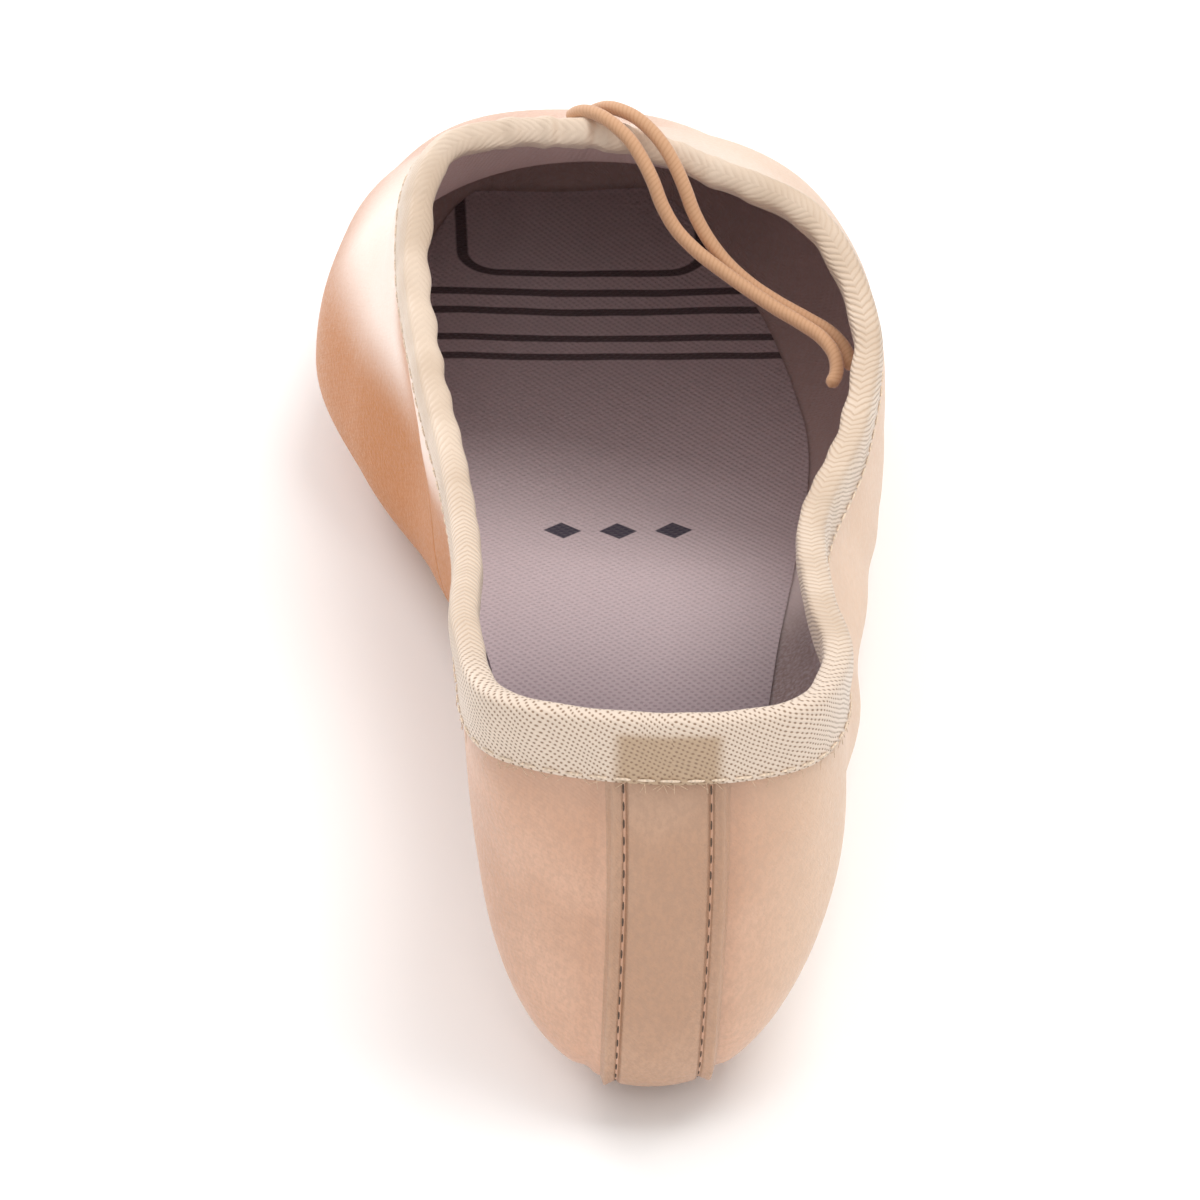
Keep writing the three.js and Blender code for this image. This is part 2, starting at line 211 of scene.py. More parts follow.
# ---- small tools ---------------------------------------------------------------------------
def table(rows, columns, name, scale=1):
    return np.array([row[columns.index(name)] for row in rows], float) * scale


def smooth(low, high, value):
    t = np.clip((value - low) / (high - low), 0, 1)
    return t * t * (3 - 2 * t)


def column(rows, columns, across, name, scale=1):
    """A smooth curve through one column of a table that turns only at the rows."""
    at = table(rows, columns, across)
    value = table(rows, columns, name, scale)
    secant = np.diff(value) / np.diff(at)
    before = np.concatenate([secant[:1], secant])
    after = np.concatenate([secant, secant[-1:]])
    both = np.where(before * after > 0, before + after, 1)
    slope = np.where(before * after > 0, 2 * before * after / both, 0)

    def curve(x):
        t = np.clip(x, at[0], at[-1])
        i = np.clip(np.searchsorted(at, t, side="right") - 1, 0, len(at) - 2)
        step = at[i + 1] - at[i]
        s = (t - at[i]) / step
        rest = 1 - s
        return (
            value[i] * (1 + 2 * s) * rest**2
            + slope[i] * step * s * rest**2
            + value[i + 1] * (3 - 2 * s) * s**2
            - slope[i + 1] * step * rest * s**2
        )

    return curve


def closed_curve(points, share):
    """The centripetal curve through a closed list of points, at shares of its rows."""
    points = np.asarray(points, float)
    count = len(points)
    at = (np.asarray(share) % 1) * count
    i = np.floor(at).astype(int) % count
    s = (at - np.floor(at))[:, None]
    a, b, c, d = (points[(i + k) % count] for k in (-1, 0, 1, 2))
    ab, bc, cd = (
        np.maximum(np.linalg.norm(q - p, axis=1, keepdims=True), 1e-9) ** 0.5
        for p, q in ((a, b), (b, c), (c, d))
    )
    out = ((b - a) / ab - (c - a) / (ab + bc) + (c - b) / bc) * bc
    into = ((c - b) / bc - (d - b) / (bc + cd) + (d - c) / cd) * bc
    return (
        b
        + out * s
        + (3 * (c - b) - 2 * out - into) * s**2
        + (2 * (b - c) + out + into) * s**3
    )


def solve(low, high, rising):
    """For each entry, the value between low and high where a rising function reaches zero."""
    for _ in range(BISECTIONS):
        middle = (low + high) / 2
        over = rising(middle) > 0
        high = np.where(over, middle, high)
        low = np.where(over, low, middle)
    return (low + high) / 2


# ---- the last ------------------------------------------------------------------------------
def section(name, scale=1):
    return column(SECTIONS, SECTION_COLUMNS, "at", name, scale)


section_half = section("half", BALL_WIDTH)
section_flat = section("flat", BALL_WIDTH)
section_fullest = section("fullest")
section_rise = section("rise")
section_sway = section("sway")
section_top = section("top", INSTEP)
section_roundness = section("roundness")
heel_lean = column(HEEL_LEAN, HEEL_LEAN_COLUMNS, "z", "back")
sole_half = column(SOLE, SOLE_COLUMNS, "at", "half")
SOLE_START = SOLE[0][0] * LENGTH
SOLE_END = SOLE[-1][0] * LENGTH


def underside(y):
    return BED + section_rise(y / LENGTH)


def soft_max(a, b, power):
    return (a**power + b**power) ** (1 / power)


def form(x, y_world, z):
    """Under 1 inside the last, 1 on it and over 1 outside."""
    y = y_world - heel_lean(z) * (1 - smooth(0, LEAN_FADES, y_world))
    at = np.maximum(y, HEEL_PIVOT) / LENGTH
    half = section_half(at)
    fullest = section_fullest(at)
    bottom = BED + section_rise(at)
    behind = np.maximum(0, HEEL_PIVOT - y) / HEEL_PIVOT
    across = np.abs(x - section_sway(at) * smooth(0, fullest, z)) / half
    depth = (fullest - bottom) / np.sqrt(1 - (section_flat(at) / half) ** 2)
    drop = np.maximum(fullest - z, 0)
    below = np.hypot(across, soft_max(behind, drop / depth, HEEL_EDGE))
    climb = np.maximum(z - fullest, 0) / (section_top(at) - fullest)
    above = soft_max(np.hypot(across, behind), climb, section_roundness(at))
    wall = np.where(z < fullest, below, above)
    front = np.maximum(0, y + PLATFORM_TILT * (z - fullest) - TOE_PIVOT) / (LENGTH - TOE_PIVOT)
    with_underside = soft_max(wall, drop / (fullest - bottom), FEATHER_EDGE)
    return soft_max(with_underside, front, PLATFORM_EDGE)


def wall_thickness(y):
    return QUARTER_WALL + (BOX_WALL - QUARTER_WALL) * smooth(BOX_STARTS, BOX_FULL, y / LENGTH)


def sole_outline(y, inset=0):
    """Half width of the sole at y, drawn in by inset all round, or 0 beyond its ends."""
    start = SOLE_START + inset
    end = SOLE_END - inset
    heel = np.clip((y - start) / SOLE_HEEL_ROUND, 0, 1)
    toe = np.clip((end - y) / SOLE_TOE_ROUND, 0, 1)
    close = np.sqrt(1 - (1 - heel) ** 2) * np.sqrt(1 - (1 - toe) ** 2)
    return (sole_half(y / LENGTH) - inset) * close


MARGIN_TRIM = 0.1  # stops the rays along the middle line at the ends of the margin too
STEEPEST = 89  # degrees above or below the horizontal


class Rays:
    """The rays from the spine that draw the wall, at shares of the collar line."""

    def __init__(self, share):
        x, y, z, spine = (table(COLLAR, COLLAR_COLUMNS, name) for name in COLLAR_COLUMNS)
        knots = np.stack([x * BALL_WIDTH, y * LENGTH, z * HEEL_HEIGHT], 1)
        on_spine = np.stack([0 * x, spine * LENGTH, 0 * x + SPINE_HEIGHT], 1)
        self.knot = closed_curve(knots, share)
        self.core = closed_curve(on_spine, share)
        self.out = (self.knot - self.core) * [1, 1, 0]
        self.out /= np.linalg.norm(self.out, axis=1, keepdims=True)

    def point(self, angle, reach):
        way = self.out * np.cos(angle)[:, None] + [0, 0, 1] * np.sin(angle)[:, None]
        return self.core + way * reach[:, None]

    def hit(self, angle):
        """Where the rays at these angles above the horizontal meet the form."""
        reach = solve(0 * angle, 0 * angle + LENGTH, lambda r: form(*self.point(angle, r).T) - 1)
        return self.point(angle, reach)


def places_round(count, fine=960):
    """Shares of the collar line, spaced by the length of the collar and of the widest line."""
    share = np.arange(fine + 1) / fine
    rays = Rays(share)
    wide = rays.hit(0 * share)
    step = np.linalg.norm(np.diff(wide, axis=0), axis=1)
    step += np.linalg.norm(np.diff(rays.knot, axis=0), axis=1)
    along = np.concatenate([[0], np.cumsum(step)])
    return np.interp(np.arange(count) / count * along[-1], along, share)


def last_surface(count):
    """Lines up the upper from the lasting margin to the collar: points [around, up, xyz]."""
    rays = Rays(places_round(count))
    zero = np.zeros(count)
    margin = solve(
        zero,
        zero + LENGTH,
        lambda r: (
            np.abs(rays.point(zero, r)[:, 0]) + MARGIN_TRIM
            - sole_outline(rays.point(zero, r)[:, 1], LASTING_MARGIN)
        ),
    )
    upright = math.radians(STEEPEST)

    def spread(angle):
        return np.linalg.norm((rays.hit(angle) - rays.core)[:, :2], axis=1) - margin

    lowest = solve(zero - upright, zero, spread)
    highest = solve(zero, zero + upright, lambda a: rays.hit(a)[:, 2] - rays.knot[:, 2])
    steps = np.linspace(0, 1, FINE_UP)
    line = np.stack([rays.hit(lowest + (highest - lowest) * t) for t in steps], 1)
    along = run_up(line)
    slack = rays.knot - line[:, -1]
    from_top = along[:, -1:] - along
    line += slack[:, None, :] * (1 - smooth(0, SLACK_DEPTH, from_top))[:, :, None]
    return line


def unit(vectors):
    return vectors / np.linalg.norm(vectors, axis=-1, keepdims=True)


def run_along(points):
    """Length along a line of points, starting at 0."""
    return np.concatenate([[0], np.cumsum(np.linalg.norm(np.diff(points, axis=0), axis=1))])


def run_up(lines):
    """Length along each of many lines, starting at 0."""
    step = np.linalg.norm(np.diff(lines, axis=1), axis=2)
    return np.concatenate([np.zeros((len(lines), 1)), np.cumsum(step, 1)], 1)


def points_at(wanted, at, points):
    """Points of a line at these lengths along it."""
    return np.stack([np.interp(wanted, at, points[:, k]) for k in range(3)], -1)


def ring(points):
    """The same points with the first again at the end."""
    return np.concatenate([points, points[:1]])


class Wall:
    """The outer face of the upper: lines up it from the lasting margin to the collar edge."""

    def __init__(self, count):
        self.count = count
        self.line = last_surface(count)
        east = np.roll(self.line, -1, 0) - np.roll(self.line, 1, 0)
        self.normal = unit(np.cross(east, np.gradient(self.line, axis=1)))
        along = run_up(self.line)
        self.height = along[:, -1]
        self.down = self.height[:, None] - along
        self.top = self.line[:, -1]
        self.run = run_along(ring(self.top))

    def at(self, down):
        """Points and outward normals at these distances down from the collar, [around, n]."""
        down = np.broadcast_to(down, (self.count, np.shape(down)[-1]))
        both = np.concatenate([self.line, self.normal], 2)
        made = np.empty(down.shape + (6,))
        for i in range(self.count):
            for k in range(6):
                made[i, :, k] = np.interp(down[i], self.down[i, ::-1], both[i, ::-1, k])
        return made[..., :3], unit(made[..., 3:])


def between(values, stations):
    """Values of a closed ring of stations at fractional stations."""
    low = np.floor(stations).astype(int)
    t = (stations - low).reshape((-1,) + (1,) * (values.ndim - 1))
    count = len(values)
    return values[low % count] * (1 - t) + values[(low + 1) % count] * t


# ---- meshes --------------------------------------------------------------------------------
SHARP = math.radians(48)
BEAD_SIDES = 8
BEAD_RINGS = 7
BEAD_BLUNTNESS = 0.6
BEAD_END = 0.02


def shell(name, rows, run, zero, look, closed=True):
    """A closed solid from rows of points, each row one closed loop of the section.

    The rows close on themselves in a ring, or end in two caps. The UV map is in metres: run
    along the rows, and across them from the loop's point number zero.
    """
    count, across = rows.shape[:2]
    steps = count if closed else count - 1
    i, j = np.meshgrid(np.arange(steps), np.arange(across), indexing="ij")
    after = (i + 1) % count
    right = (j + 1) % across
    corners = [(i, j), (after, j), (after, right), (i, right)]
    faces = np.stack([a * across + b for a, b in corners], -1).reshape(-1, 4).tolist()
    loop = np.concatenate([rows, rows[:, :1]], 1)
    over = np.concatenate(
        [np.zeros((count, 1)), np.cumsum(np.linalg.norm(np.diff(loop, axis=1), axis=2), 1)], 1
    )
    over = ring(over - over[:, zero : zero + 1]) * MM
    run = np.broadcast_to(np.asarray(run)[:, None] * MM, (len(run), across + 1))
    uv = [
        np.stack([run[a, b], over[a, b]], -1)
        for a, b in ((i, j), (i + 1, j), (i + 1, j + 1), (i, j + 1))
    ]
    uv = np.stack(uv, -2).reshape(-1)
    if not closed:
        faces += [list(range(across))[::-1], [(count - 1) * across + k for k in range(across)]]
        uv = np.concatenate([uv, np.zeros(4 * across)])
    mesh = bpy.data.meshes.new(name)
    mesh.from_pydata(place(rows).reshape(-1, 3).tolist(), [], faces)
    mesh.uv_layers.new(name="UVMap").data.foreach_set("uv", uv.astype(np.float32))
    return finished(name, mesh, look)


def link(name, data):
    thing = bpy.data.objects.new(name, data)
    bpy.context.scene.collection.objects.link(thing)
    return thing


def finished(name, mesh, look):
    mesh.polygons.foreach_set("use_smooth", [True] * len(mesh.polygons))
    mesh.set_sharp_from_angle(angle=SHARP)
    mesh.materials.append(look)
    return link(name, mesh)


def beads(name, middles, along, out, sizes, look):
    """Small rounded lengths of thread in one mesh: sizes are (length, width, height)."""
    points, faces = [], []
    for middle, a, n in zip(middles, unit(along), unit(out)):
        b = np.cross(n, a)
        first = len(points)
        for k in range(BEAD_RINGS):
            t = math.pi * k / (BEAD_RINGS - 1)
            swell = max(math.sin(t) ** BEAD_BLUNTNESS, BEAD_END)
            for m in range(BEAD_SIDES):
                turn = 2 * math.pi * m / BEAD_SIDES
                points.append(
                    middle
                    - a * math.cos(t) * sizes[0] / 2
                    + b * math.cos(turn) * swell * sizes[1] / 2
                    + n * math.sin(turn) * swell * sizes[2] / 2
                )
        for k in range(BEAD_RINGS - 1):
            for m in range(BEAD_SIDES):
                here = first + k * BEAD_SIDES
                there = here + BEAD_SIDES
                nxt = (m + 1) % BEAD_SIDES
                faces.append([here + m, there + m, there + nxt, here + nxt])
        faces.append([first + m for m in range(BEAD_SIDES)])
        faces.append([first + (BEAD_RINGS - 1) * BEAD_SIDES + m for m in range(BEAD_SIDES)][::-1])
    mesh = bpy.data.meshes.new(name)
    mesh.from_pydata(place(points).tolist(), [], faces)
    return finished(name, mesh, look)


def keep(thing, slot, *nodes):
    """The piece rides on the shoe and stands for its CAD nodes. The slot is not used."""
    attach(thing, "root")
    if nodes:
        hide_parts(*nodes)
    return thing


# ---- materials -----------------------------------------------------------------------------
def paint(red, green, blue):
    """A display colour, 0 to 255, as the linear colour that a shader takes."""
    parts = [c / 255 for c in (red, green, blue)]
    linear = [p / 12.92 if p < 0.04045 else ((p + 0.055) / 1.055) ** 2.4 for p in parts]
    return (*linear, 1)


class Look:
    """A Principled material, with short ways to add nodes to it."""

    def __init__(self, name, **sockets):
        self.material = bpy.data.materials.new(name)
        self.material.use_nodes = True
        self.nodes = self.material.node_tree.nodes
        self.links = self.material.node_tree.links
        self.shader = self.nodes["Principled BSDF"]
        for key, value in sockets.items():
            self.shader.inputs[key.replace("_", " ")].default_value = value
        self.object = self.add("ShaderNodeTexCoord").outputs["Object"]
        self.uv = self.add("ShaderNodeUVMap").outputs["UV"]
        self.height = None

    def add(self, kind, **settings):
        node = self.nodes.new(kind)
        for key, value in settings.items():
            setattr(node, key, value)
        return node

    def feed(self, socket, value):
        if isinstance(value, bpy.types.NodeSocket):
            self.links.new(value, socket)
        else:
            socket.default_value = value

    def math(self, operation, a, b=0.0, c=0.0):
        node = self.add("ShaderNodeMath", operation=operation)
        for socket, value in zip(node.inputs, (a, b, c)):
            self.feed(socket, value)
        return node.outputs[0]

    def less(self, a, b):
        return self.math("SUBTRACT", a, b)

    def split(self, vector):
        node = self.add("ShaderNodeSeparateXYZ")
        self.feed(node.inputs[0], vector)
        return node.outputs

    def on_last(self):
        """The place on the last, in metres."""
        starts = ORIGIN * MM
        return [self.math("ADD", way, start) for way, start in zip(self.split(self.object), starts)]

    def distance(self, point):
        """How far the place is from a point of the last given in mm, in metres."""
        node = self.add("ShaderNodeVectorMath", operation="DISTANCE")
        self.feed(node.inputs[0], self.object)
        node.inputs[1].default_value = tuple(place(point))
        return node.outputs["Value"]

    def product(self, first, *others):
        for other in others:
            first = self.math("MULTIPLY", first, other)
        return first

    def largest(self, values):
        most = values[0]
        for value in values[1:]:
            most = self.math("MAXIMUM", most, value)
        return most

    def noise(self, name):
        """A row of NOISES, from 0 to 1."""
        scale, detail, roughness, shrink = NOISES[name]
        scaled = self.add("ShaderNodeMapping")
        self.feed(scaled.inputs["Vector"], self.object)
        scaled.inputs["Scale"].default_value = shrink
        node = self.add("ShaderNodeTexNoise")
        self.feed(node.inputs["Vector"], scaled.outputs[0])
        node.inputs["Scale"].default_value = scale
        node.inputs["Detail"].default_value = detail
        node.inputs["Roughness"].default_value = roughness
        return node.outputs[0]

    def step(self, value, low, high, out_low=0.0, out_high=1.0):
        """Value taken smoothly from low..high to out_low..out_high."""
        node = self.add("ShaderNodeMapRange", interpolation_type="SMOOTHSTEP")
        for socket, given in zip(node.inputs, (value, low, high, out_low, out_high)):
            self.feed(socket, given)
        return node.outputs[0]

    def zone(self, value, name):
        """The share that a row of ZONES gives for a length in metres."""
        low, high, out_low, out_high = ZONES[name]
        return self.step(value, low * MM, high * MM, out_low, out_high)

    def wave(self, value, period):
        """A sine of a length in metres, from 0 to 1, with its period in mm."""
        turn = self.math("MULTIPLY", value, 2 * math.pi / (period * MM))
        return self.math("MULTIPLY_ADD", self.math("SINE", turn), 0.5, 0.5)

    def mix_value(self, share, a, b):
        node = self.add("ShaderNodeMix", data_type="FLOAT")
        for socket, given in zip((node.inputs[0], node.inputs[2], node.inputs[3]), (share, a, b)):
            self.feed(socket, given)
        return node.outputs[0]

    def mix(self, share, a, b):
        node = self.add("ShaderNodeMix", data_type="RGBA")
        for socket, given in zip((node.inputs[0], node.inputs[6], node.inputs[7]), (share, a, b)):
            self.feed(socket, given)
        return node.outputs[2]

    def mottled(self, name, edges=(0.35, 0.65)):
        """A tone in soft patches with its deep one."""
        cloud = self.step(self.noise(name + "_cloud"), *edges)
        return self.mix(cloud, tone(name + "_deep"), tone(name))

    def woven(self, first, second, share, low, high):
        """Height of a weave of two waves: pits where both are low, and a share of the first."""
        pits = self.product(self.less(1.0, first), self.less(1.0, second))
        return self.mix_value(share, self.step(pits, low, high, 1, 0), first)

    def colour(self, value):
        self.feed(self.shader.inputs["Base Color"], value)

    def roughness(self, value):
        self.feed(self.shader.inputs["Roughness"], value)

    def bump(self, height, relief, strength):
        """Adds relief of this many mm for a height of 1."""
        node = self.add("ShaderNodeBump")
        node.inputs["Strength"].default_value = strength
        node.inputs["Distance"].default_value = relief * MM
        self.feed(node.inputs["Height"], height)
        if self.height is not None:
            self.links.new(self.height, node.inputs["Normal"])
        self.height = node.outputs[0]
        self.links.new(self.height, self.shader.inputs["Normal"])


# ---- the cloths ----------------------------------------------------------------------------
RIB_PITCH = 1.35  # along the tape
RIB_TURNS = 1.5  # how far from the crown the ribs flatten
RIB_SLOPE = 0.9
BEAD_PITCH = 0.68
BEAD_SLOPE = 0.4
RIB_WANDER = 3
BUTTONHOLE = 1.3
SATIN_TWILL = 0.62
SEAM_FOOT = 105  # where a side seam meets the sole, and how far it leans forward
SEAM_LEAN = 0.33
SEAM_LINE = 5.6  # each row of stitches on the heel strip, from its middle
LINING_PITCH = 0.6
SOCK_PITCHES = (1.05, 0.9)
CORD_LAY = 0.7

TONES = {
    "satin": (211, 170, 145),
    "strip": (193, 157, 132),
    "satin_glow": (255, 236, 222),
    # A painted highlight over the left of the ball and over the vamp.
    "satin_lit": (250, 228, 215),
    # A painted highlight on the right side.
    "satin_right_highlight": (232, 208, 180),
    "tape_deep": (206, 183, 160),
    "tape": (222, 201, 180),
    "tape_heel": (224, 205, 187),
    "tape_join": (178, 148, 116),
    # Painted shade in the weave's pits.
    "rib_pit": (206, 180, 154),
    "bead_pit": (148, 120, 96),
    # Painted shade in the buttonholes.
    "buttonhole": (120, 92, 74),
    "lining": (236, 226, 230),
    "lining_deep": (214, 202, 206),
    "lining_shade": (112, 82, 74),
    "lining_ball": (244, 224, 220),
    # Painted warm shade towards the toe.
    "lining_toe": (202, 174, 168),
    # The sock: painted shade at the heel and painted light towards the toe.
    "sock_heel": (134, 118, 123),
    "sock_heel_deep": (122, 106, 111),
    "sock_toe": (214, 196, 199),
    # Painted shade in the weave's pits.
    "sock_pit": (112, 96, 101),
    "sock_ink": (66, 42, 46),
    "sock_mark": (28, 26, 52),
    "leather": (214, 188, 158),
    "leather_deep": (196, 166, 134),
    "leather_nap": (176, 148, 120),
    "leather_scuff": (166, 138, 110),
    "cord": (208, 162, 125),
    # Painted shade in the grooves between the plies.
    "cord_deep": (200, 152, 114),
    "heel_thread": (100, 82, 70),
    "tape_thread": (240, 218, 194),
    "hair": (216, 186, 158),
    "floor": (255, 255, 255),
    "floor_deep": (253, 254, 255),
}

# Where a tone comes in or fades, in mm on the last: from, to, and its share at each.
ZONES = {
    # Painted shade under the tape at the heel.
    "satin_under_tape": (48, 57, 0, 0.5),
    "satin_heel": (23, 48, 1, 0),
    # Painted orange shade low on the left of the ball, with a painted highlight above it.
    "satin_warm_below": (29, 45, 1, 0),
    "satin_lit_above": (26, 43, 0, 1),
    "satin_ball_starts": (48, 108, 0, 1),
    "satin_ball_ends": (163, 233, 1, 0.15),
    "satin_left": (-32.4, 13.6, 1, 0),
    # A painted highlight on the right side.
    "satin_right_highlight": (5.6, 25.6, 0, 0.5),
    # A painted highlight over the vamp.
    "satin_vamp_above": (44, 54, 0, 1),
    "satin_vamp_starts": (123, 153, 0, 0.4),
    "strip_line": (0.1, 0.4, 0.2, 0),
    "strip_groove": (0, 0.7, 0, 1),
    "seam_line": (0.1, 0.5, 0.5, 0),
    "seam_groove": (0, 1.1, 0, 1),
    "seam_ends_above": (50, 56, 1, 0),
    "seam_shade_starts": (0, 1, 0, 1),
    "seam_shade_ends": (4, 16, 0.8, 0),
    "tape_heel": (11, 35, 1, 0),
    "tape_beads_from": (1.6, 4, 0.15, 1),
    "tape_soft_from": (83, 133, 0, 1),
    "join_side": (5.6, 7.8, 1, 0),
    "join_behind": (8, 11, 1, 0),
    "join_below": (2.8, 4.2, 0, 1),
    # Painted shade in the buttonholes.
    "buttonhole": (BUTTONHOLE, BUTTONHOLE + 0.4, 1, 0),
    "lining_shade_below": (34, 56, 0.85, 0),
    "lining_shade_right": (1.6, 13.6, 0, 1),
    "lining_shade_ends": (103, 133, 1, 0.3),
    "lining_ball": (93, 123, 0, 0.9),
    # Painted warm shade towards the toe.
    "lining_toe": (131, 157, 0, 1),
    # The sock goes from painted shade at the heel to painted light towards the toe.
    "sock_toe": (55, 125, 0, 1),
}


# Noise in the cloth: how many waves in a metre, detail, roughness, and how the place is scaled.
EVEN = (1, 1, 1)
NOISES = {
    "satin_cloud": (34, 3, 0.55, EVEN),
    "satin_cloth": (1500, 4, 0.7, (1, 1, 0.6)),
    "satin_grain": (1500, 3, 0.65, EVEN),
    "satin_slub": (900, 2, 0.5, (1, 1, 0.22)),
    "tape_cloud": (60, 3, 0.5, EVEN),
    "tape_wander": (130, 2, 0.5, EVEN),
    "tape_fuzz": (2600, 2, 0.5, EVEN),
    "lining_cloud": (45, 3, 0.5, EVEN),
    "lining_fuzz": (1800, 2, 0.5, EVEN),
    "sock_heel_cloud": (30, 3, 0.5, EVEN),
    "sock_wander": (60, 2, 0.5, EVEN),
    "sock_fuzz": (2200, 2, 0.5, EVEN),
    "leather_cloud": (40, 4, 0.5, EVEN),
    "leather_nap": (900, 4, 0.7, (1, 0.35, 1)),
    "leather_scuff": (140, 3, 0.6, (1, 0.12, 1)),
    "cord_wander": (500, 2, 0.5, EVEN),
    "cord_fuzz": (2400, 2, 0.5, EVEN),
    "thread_fuzz": (3000, 2, 0.5, EVEN),
    "floor_cloud": (3, 2, 0.5, EVEN),
}


def tone(name):
    return paint(*TONES[name])


def shaded(colour, red, green, blue):
    """A linear colour with each of its parts scaled."""
    return tuple(min(1, part * by) for part, by in zip(colour, (red, green, blue))) + (1,)


def seam_distance(look, y, z):
    """How far a point of the upper's sides is ahead of the side seam, in metres."""
    ahead = look.less(y, SEAM_FOOT * MM)
    return look.math("MULTIPLY_ADD", z, -SEAM_LEAN, ahead)


def satin_tone(look, colour, grain, warm, dim):
    """The satin's colour, with painted shade under the tape at the heel, painted highlights on the
    right side, on the left of the ball and over the vamp, and painted orange shade low on the left of
    the ball; and its share on the left side.
    """
    x, y, z = look.on_last()
    light = shaded(colour, 1.1, 1.1, 1.1)
    deep = shaded(colour, 0.93, 0.86, 0.8)
    cloud = look.noise("satin_cloud")
    cloth = look.noise("satin_cloth")
    base = look.mix(look.step(cloud, 0.36, 0.64), deep, light)
    base = look.mix(look.step(grain, 0.3, 0.75, 0.25, 0), base, deep)
    base = look.mix(look.step(cloth, 0.35, 0.65, 0.42, 0), base, dim)
    # Painted shade under the tape at the heel.
    shade_under_tape = look.product(look.zone(z, "satin_under_tape"), look.zone(y, "satin_heel"))
    base = look.mix(shade_under_tape, base, dim)
    ball = look.product(look.zone(y, "satin_ball_starts"), look.zone(y, "satin_ball_ends"))
    left = look.zone(x, "satin_left")
    # A painted highlight on the right side.
    base = look.mix(look.zone(x, "satin_right_highlight"), base, tone("satin_right_highlight"))
    # A painted highlight over the left of the ball and over the vamp.
    lit = look.product(look.zone(z, "satin_lit_above"), ball, left)
    vamp = look.product(look.zone(z, "satin_vamp_above"), look.zone(y, "satin_vamp_starts"))
    base = look.mix(look.math("MAXIMUM", lit, vamp), base, tone("satin_lit"))
    # Painted orange shade low on the left of the ball.
    orange = look.product(look.zone(z, "satin_warm_below"), ball, left)
    return look.mix(orange, base, warm), left


def satin_look(name, colour, strip=False):
    """Satin of this colour, with the heel strip's stitch lines or the upper's side seams, and a band of
    painted orange shade just ahead of each side seam on the left side.
    """
    look = Look(name, Specular_IOR_Level=0.38, Anisotropic=0.4, Sheen_Weight=0.08)
    look.shader.inputs["Sheen Tint"].default_value = tone("satin_glow")
    grain = look.noise("satin_grain")
    dim = shaded(colour, 0.72, 0.72, 0.72)
    # The satin's painted orange shade, also the colour of the seam and stitch lines.
    warm = shaded(colour, 0.75, 0.4, 0.07)
    base, left = satin_tone(look, colour, grain, warm, dim)
    x, y, z = look.on_last()
    if strip:
        _, v, _ = look.split(look.uv)
        beside = look.less(look.math("ABSOLUTE", v), SEAM_LINE * MM)
        away = look.math("ABSOLUTE", beside)
        line = look.zone(away, "strip_line")
        groove = look.zone(away, "strip_groove")
    else:
        ahead = seam_distance(look, y, z)
        away = look.math("ABSOLUTE", ahead)
        line = look.product(look.zone(away, "seam_line"), look.zone(z, "seam_ends_above"))
        groove = look.zone(away, "seam_groove")
        # A band of painted orange shade just ahead of the side seam, on the left side.
        starts = look.zone(ahead, "seam_shade_starts")
        base = look.mix(look.product(starts, look.zone(ahead, "seam_shade_ends"), left), base, warm)
    look.colour(look.mix(line, base, warm))
    look.roughness(look.step(grain, 0.3, 0.7, 0.3, 0.46))
    diagonal = look.math("ADD", look.math("ADD", x, y), z)
    slub = look.noise("satin_slub")
    look.bump(groove, 0.4, 0.7)
    look.bump(look.wave(diagonal, SATIN_TWILL), 0.02, 0.6)
    look.bump(grain, 0.13, 0.8)
    look.bump(slub, 0.07, 0.6)
    return look.material


def tape_weave(look, u, wide, heel):
    """Height of the tape's weave, 0 to 1, and the share of it that is broken into beads."""
    low = look.math("MAXIMUM", look.less(wide, RIB_TURNS * MM), 0.0)
    slope = look.math("MULTIPLY_ADD", low, RIB_SLOPE, wide)
    rib = look.wave(look.less(slope, u), RIB_PITCH)
    bead = look.wave(look.math("MULTIPLY_ADD", wide, BEAD_SLOPE, u), BEAD_PITCH)
    beaded = look.math("MAXIMUM", look.zone(wide, "tape_beads_from"), heel)
    dotted = look.woven(rib, bead, 0.45, 0.15, 1)
    return look.mix_value(beaded, look.math("POWER", rib, 0.6), dotted), beaded


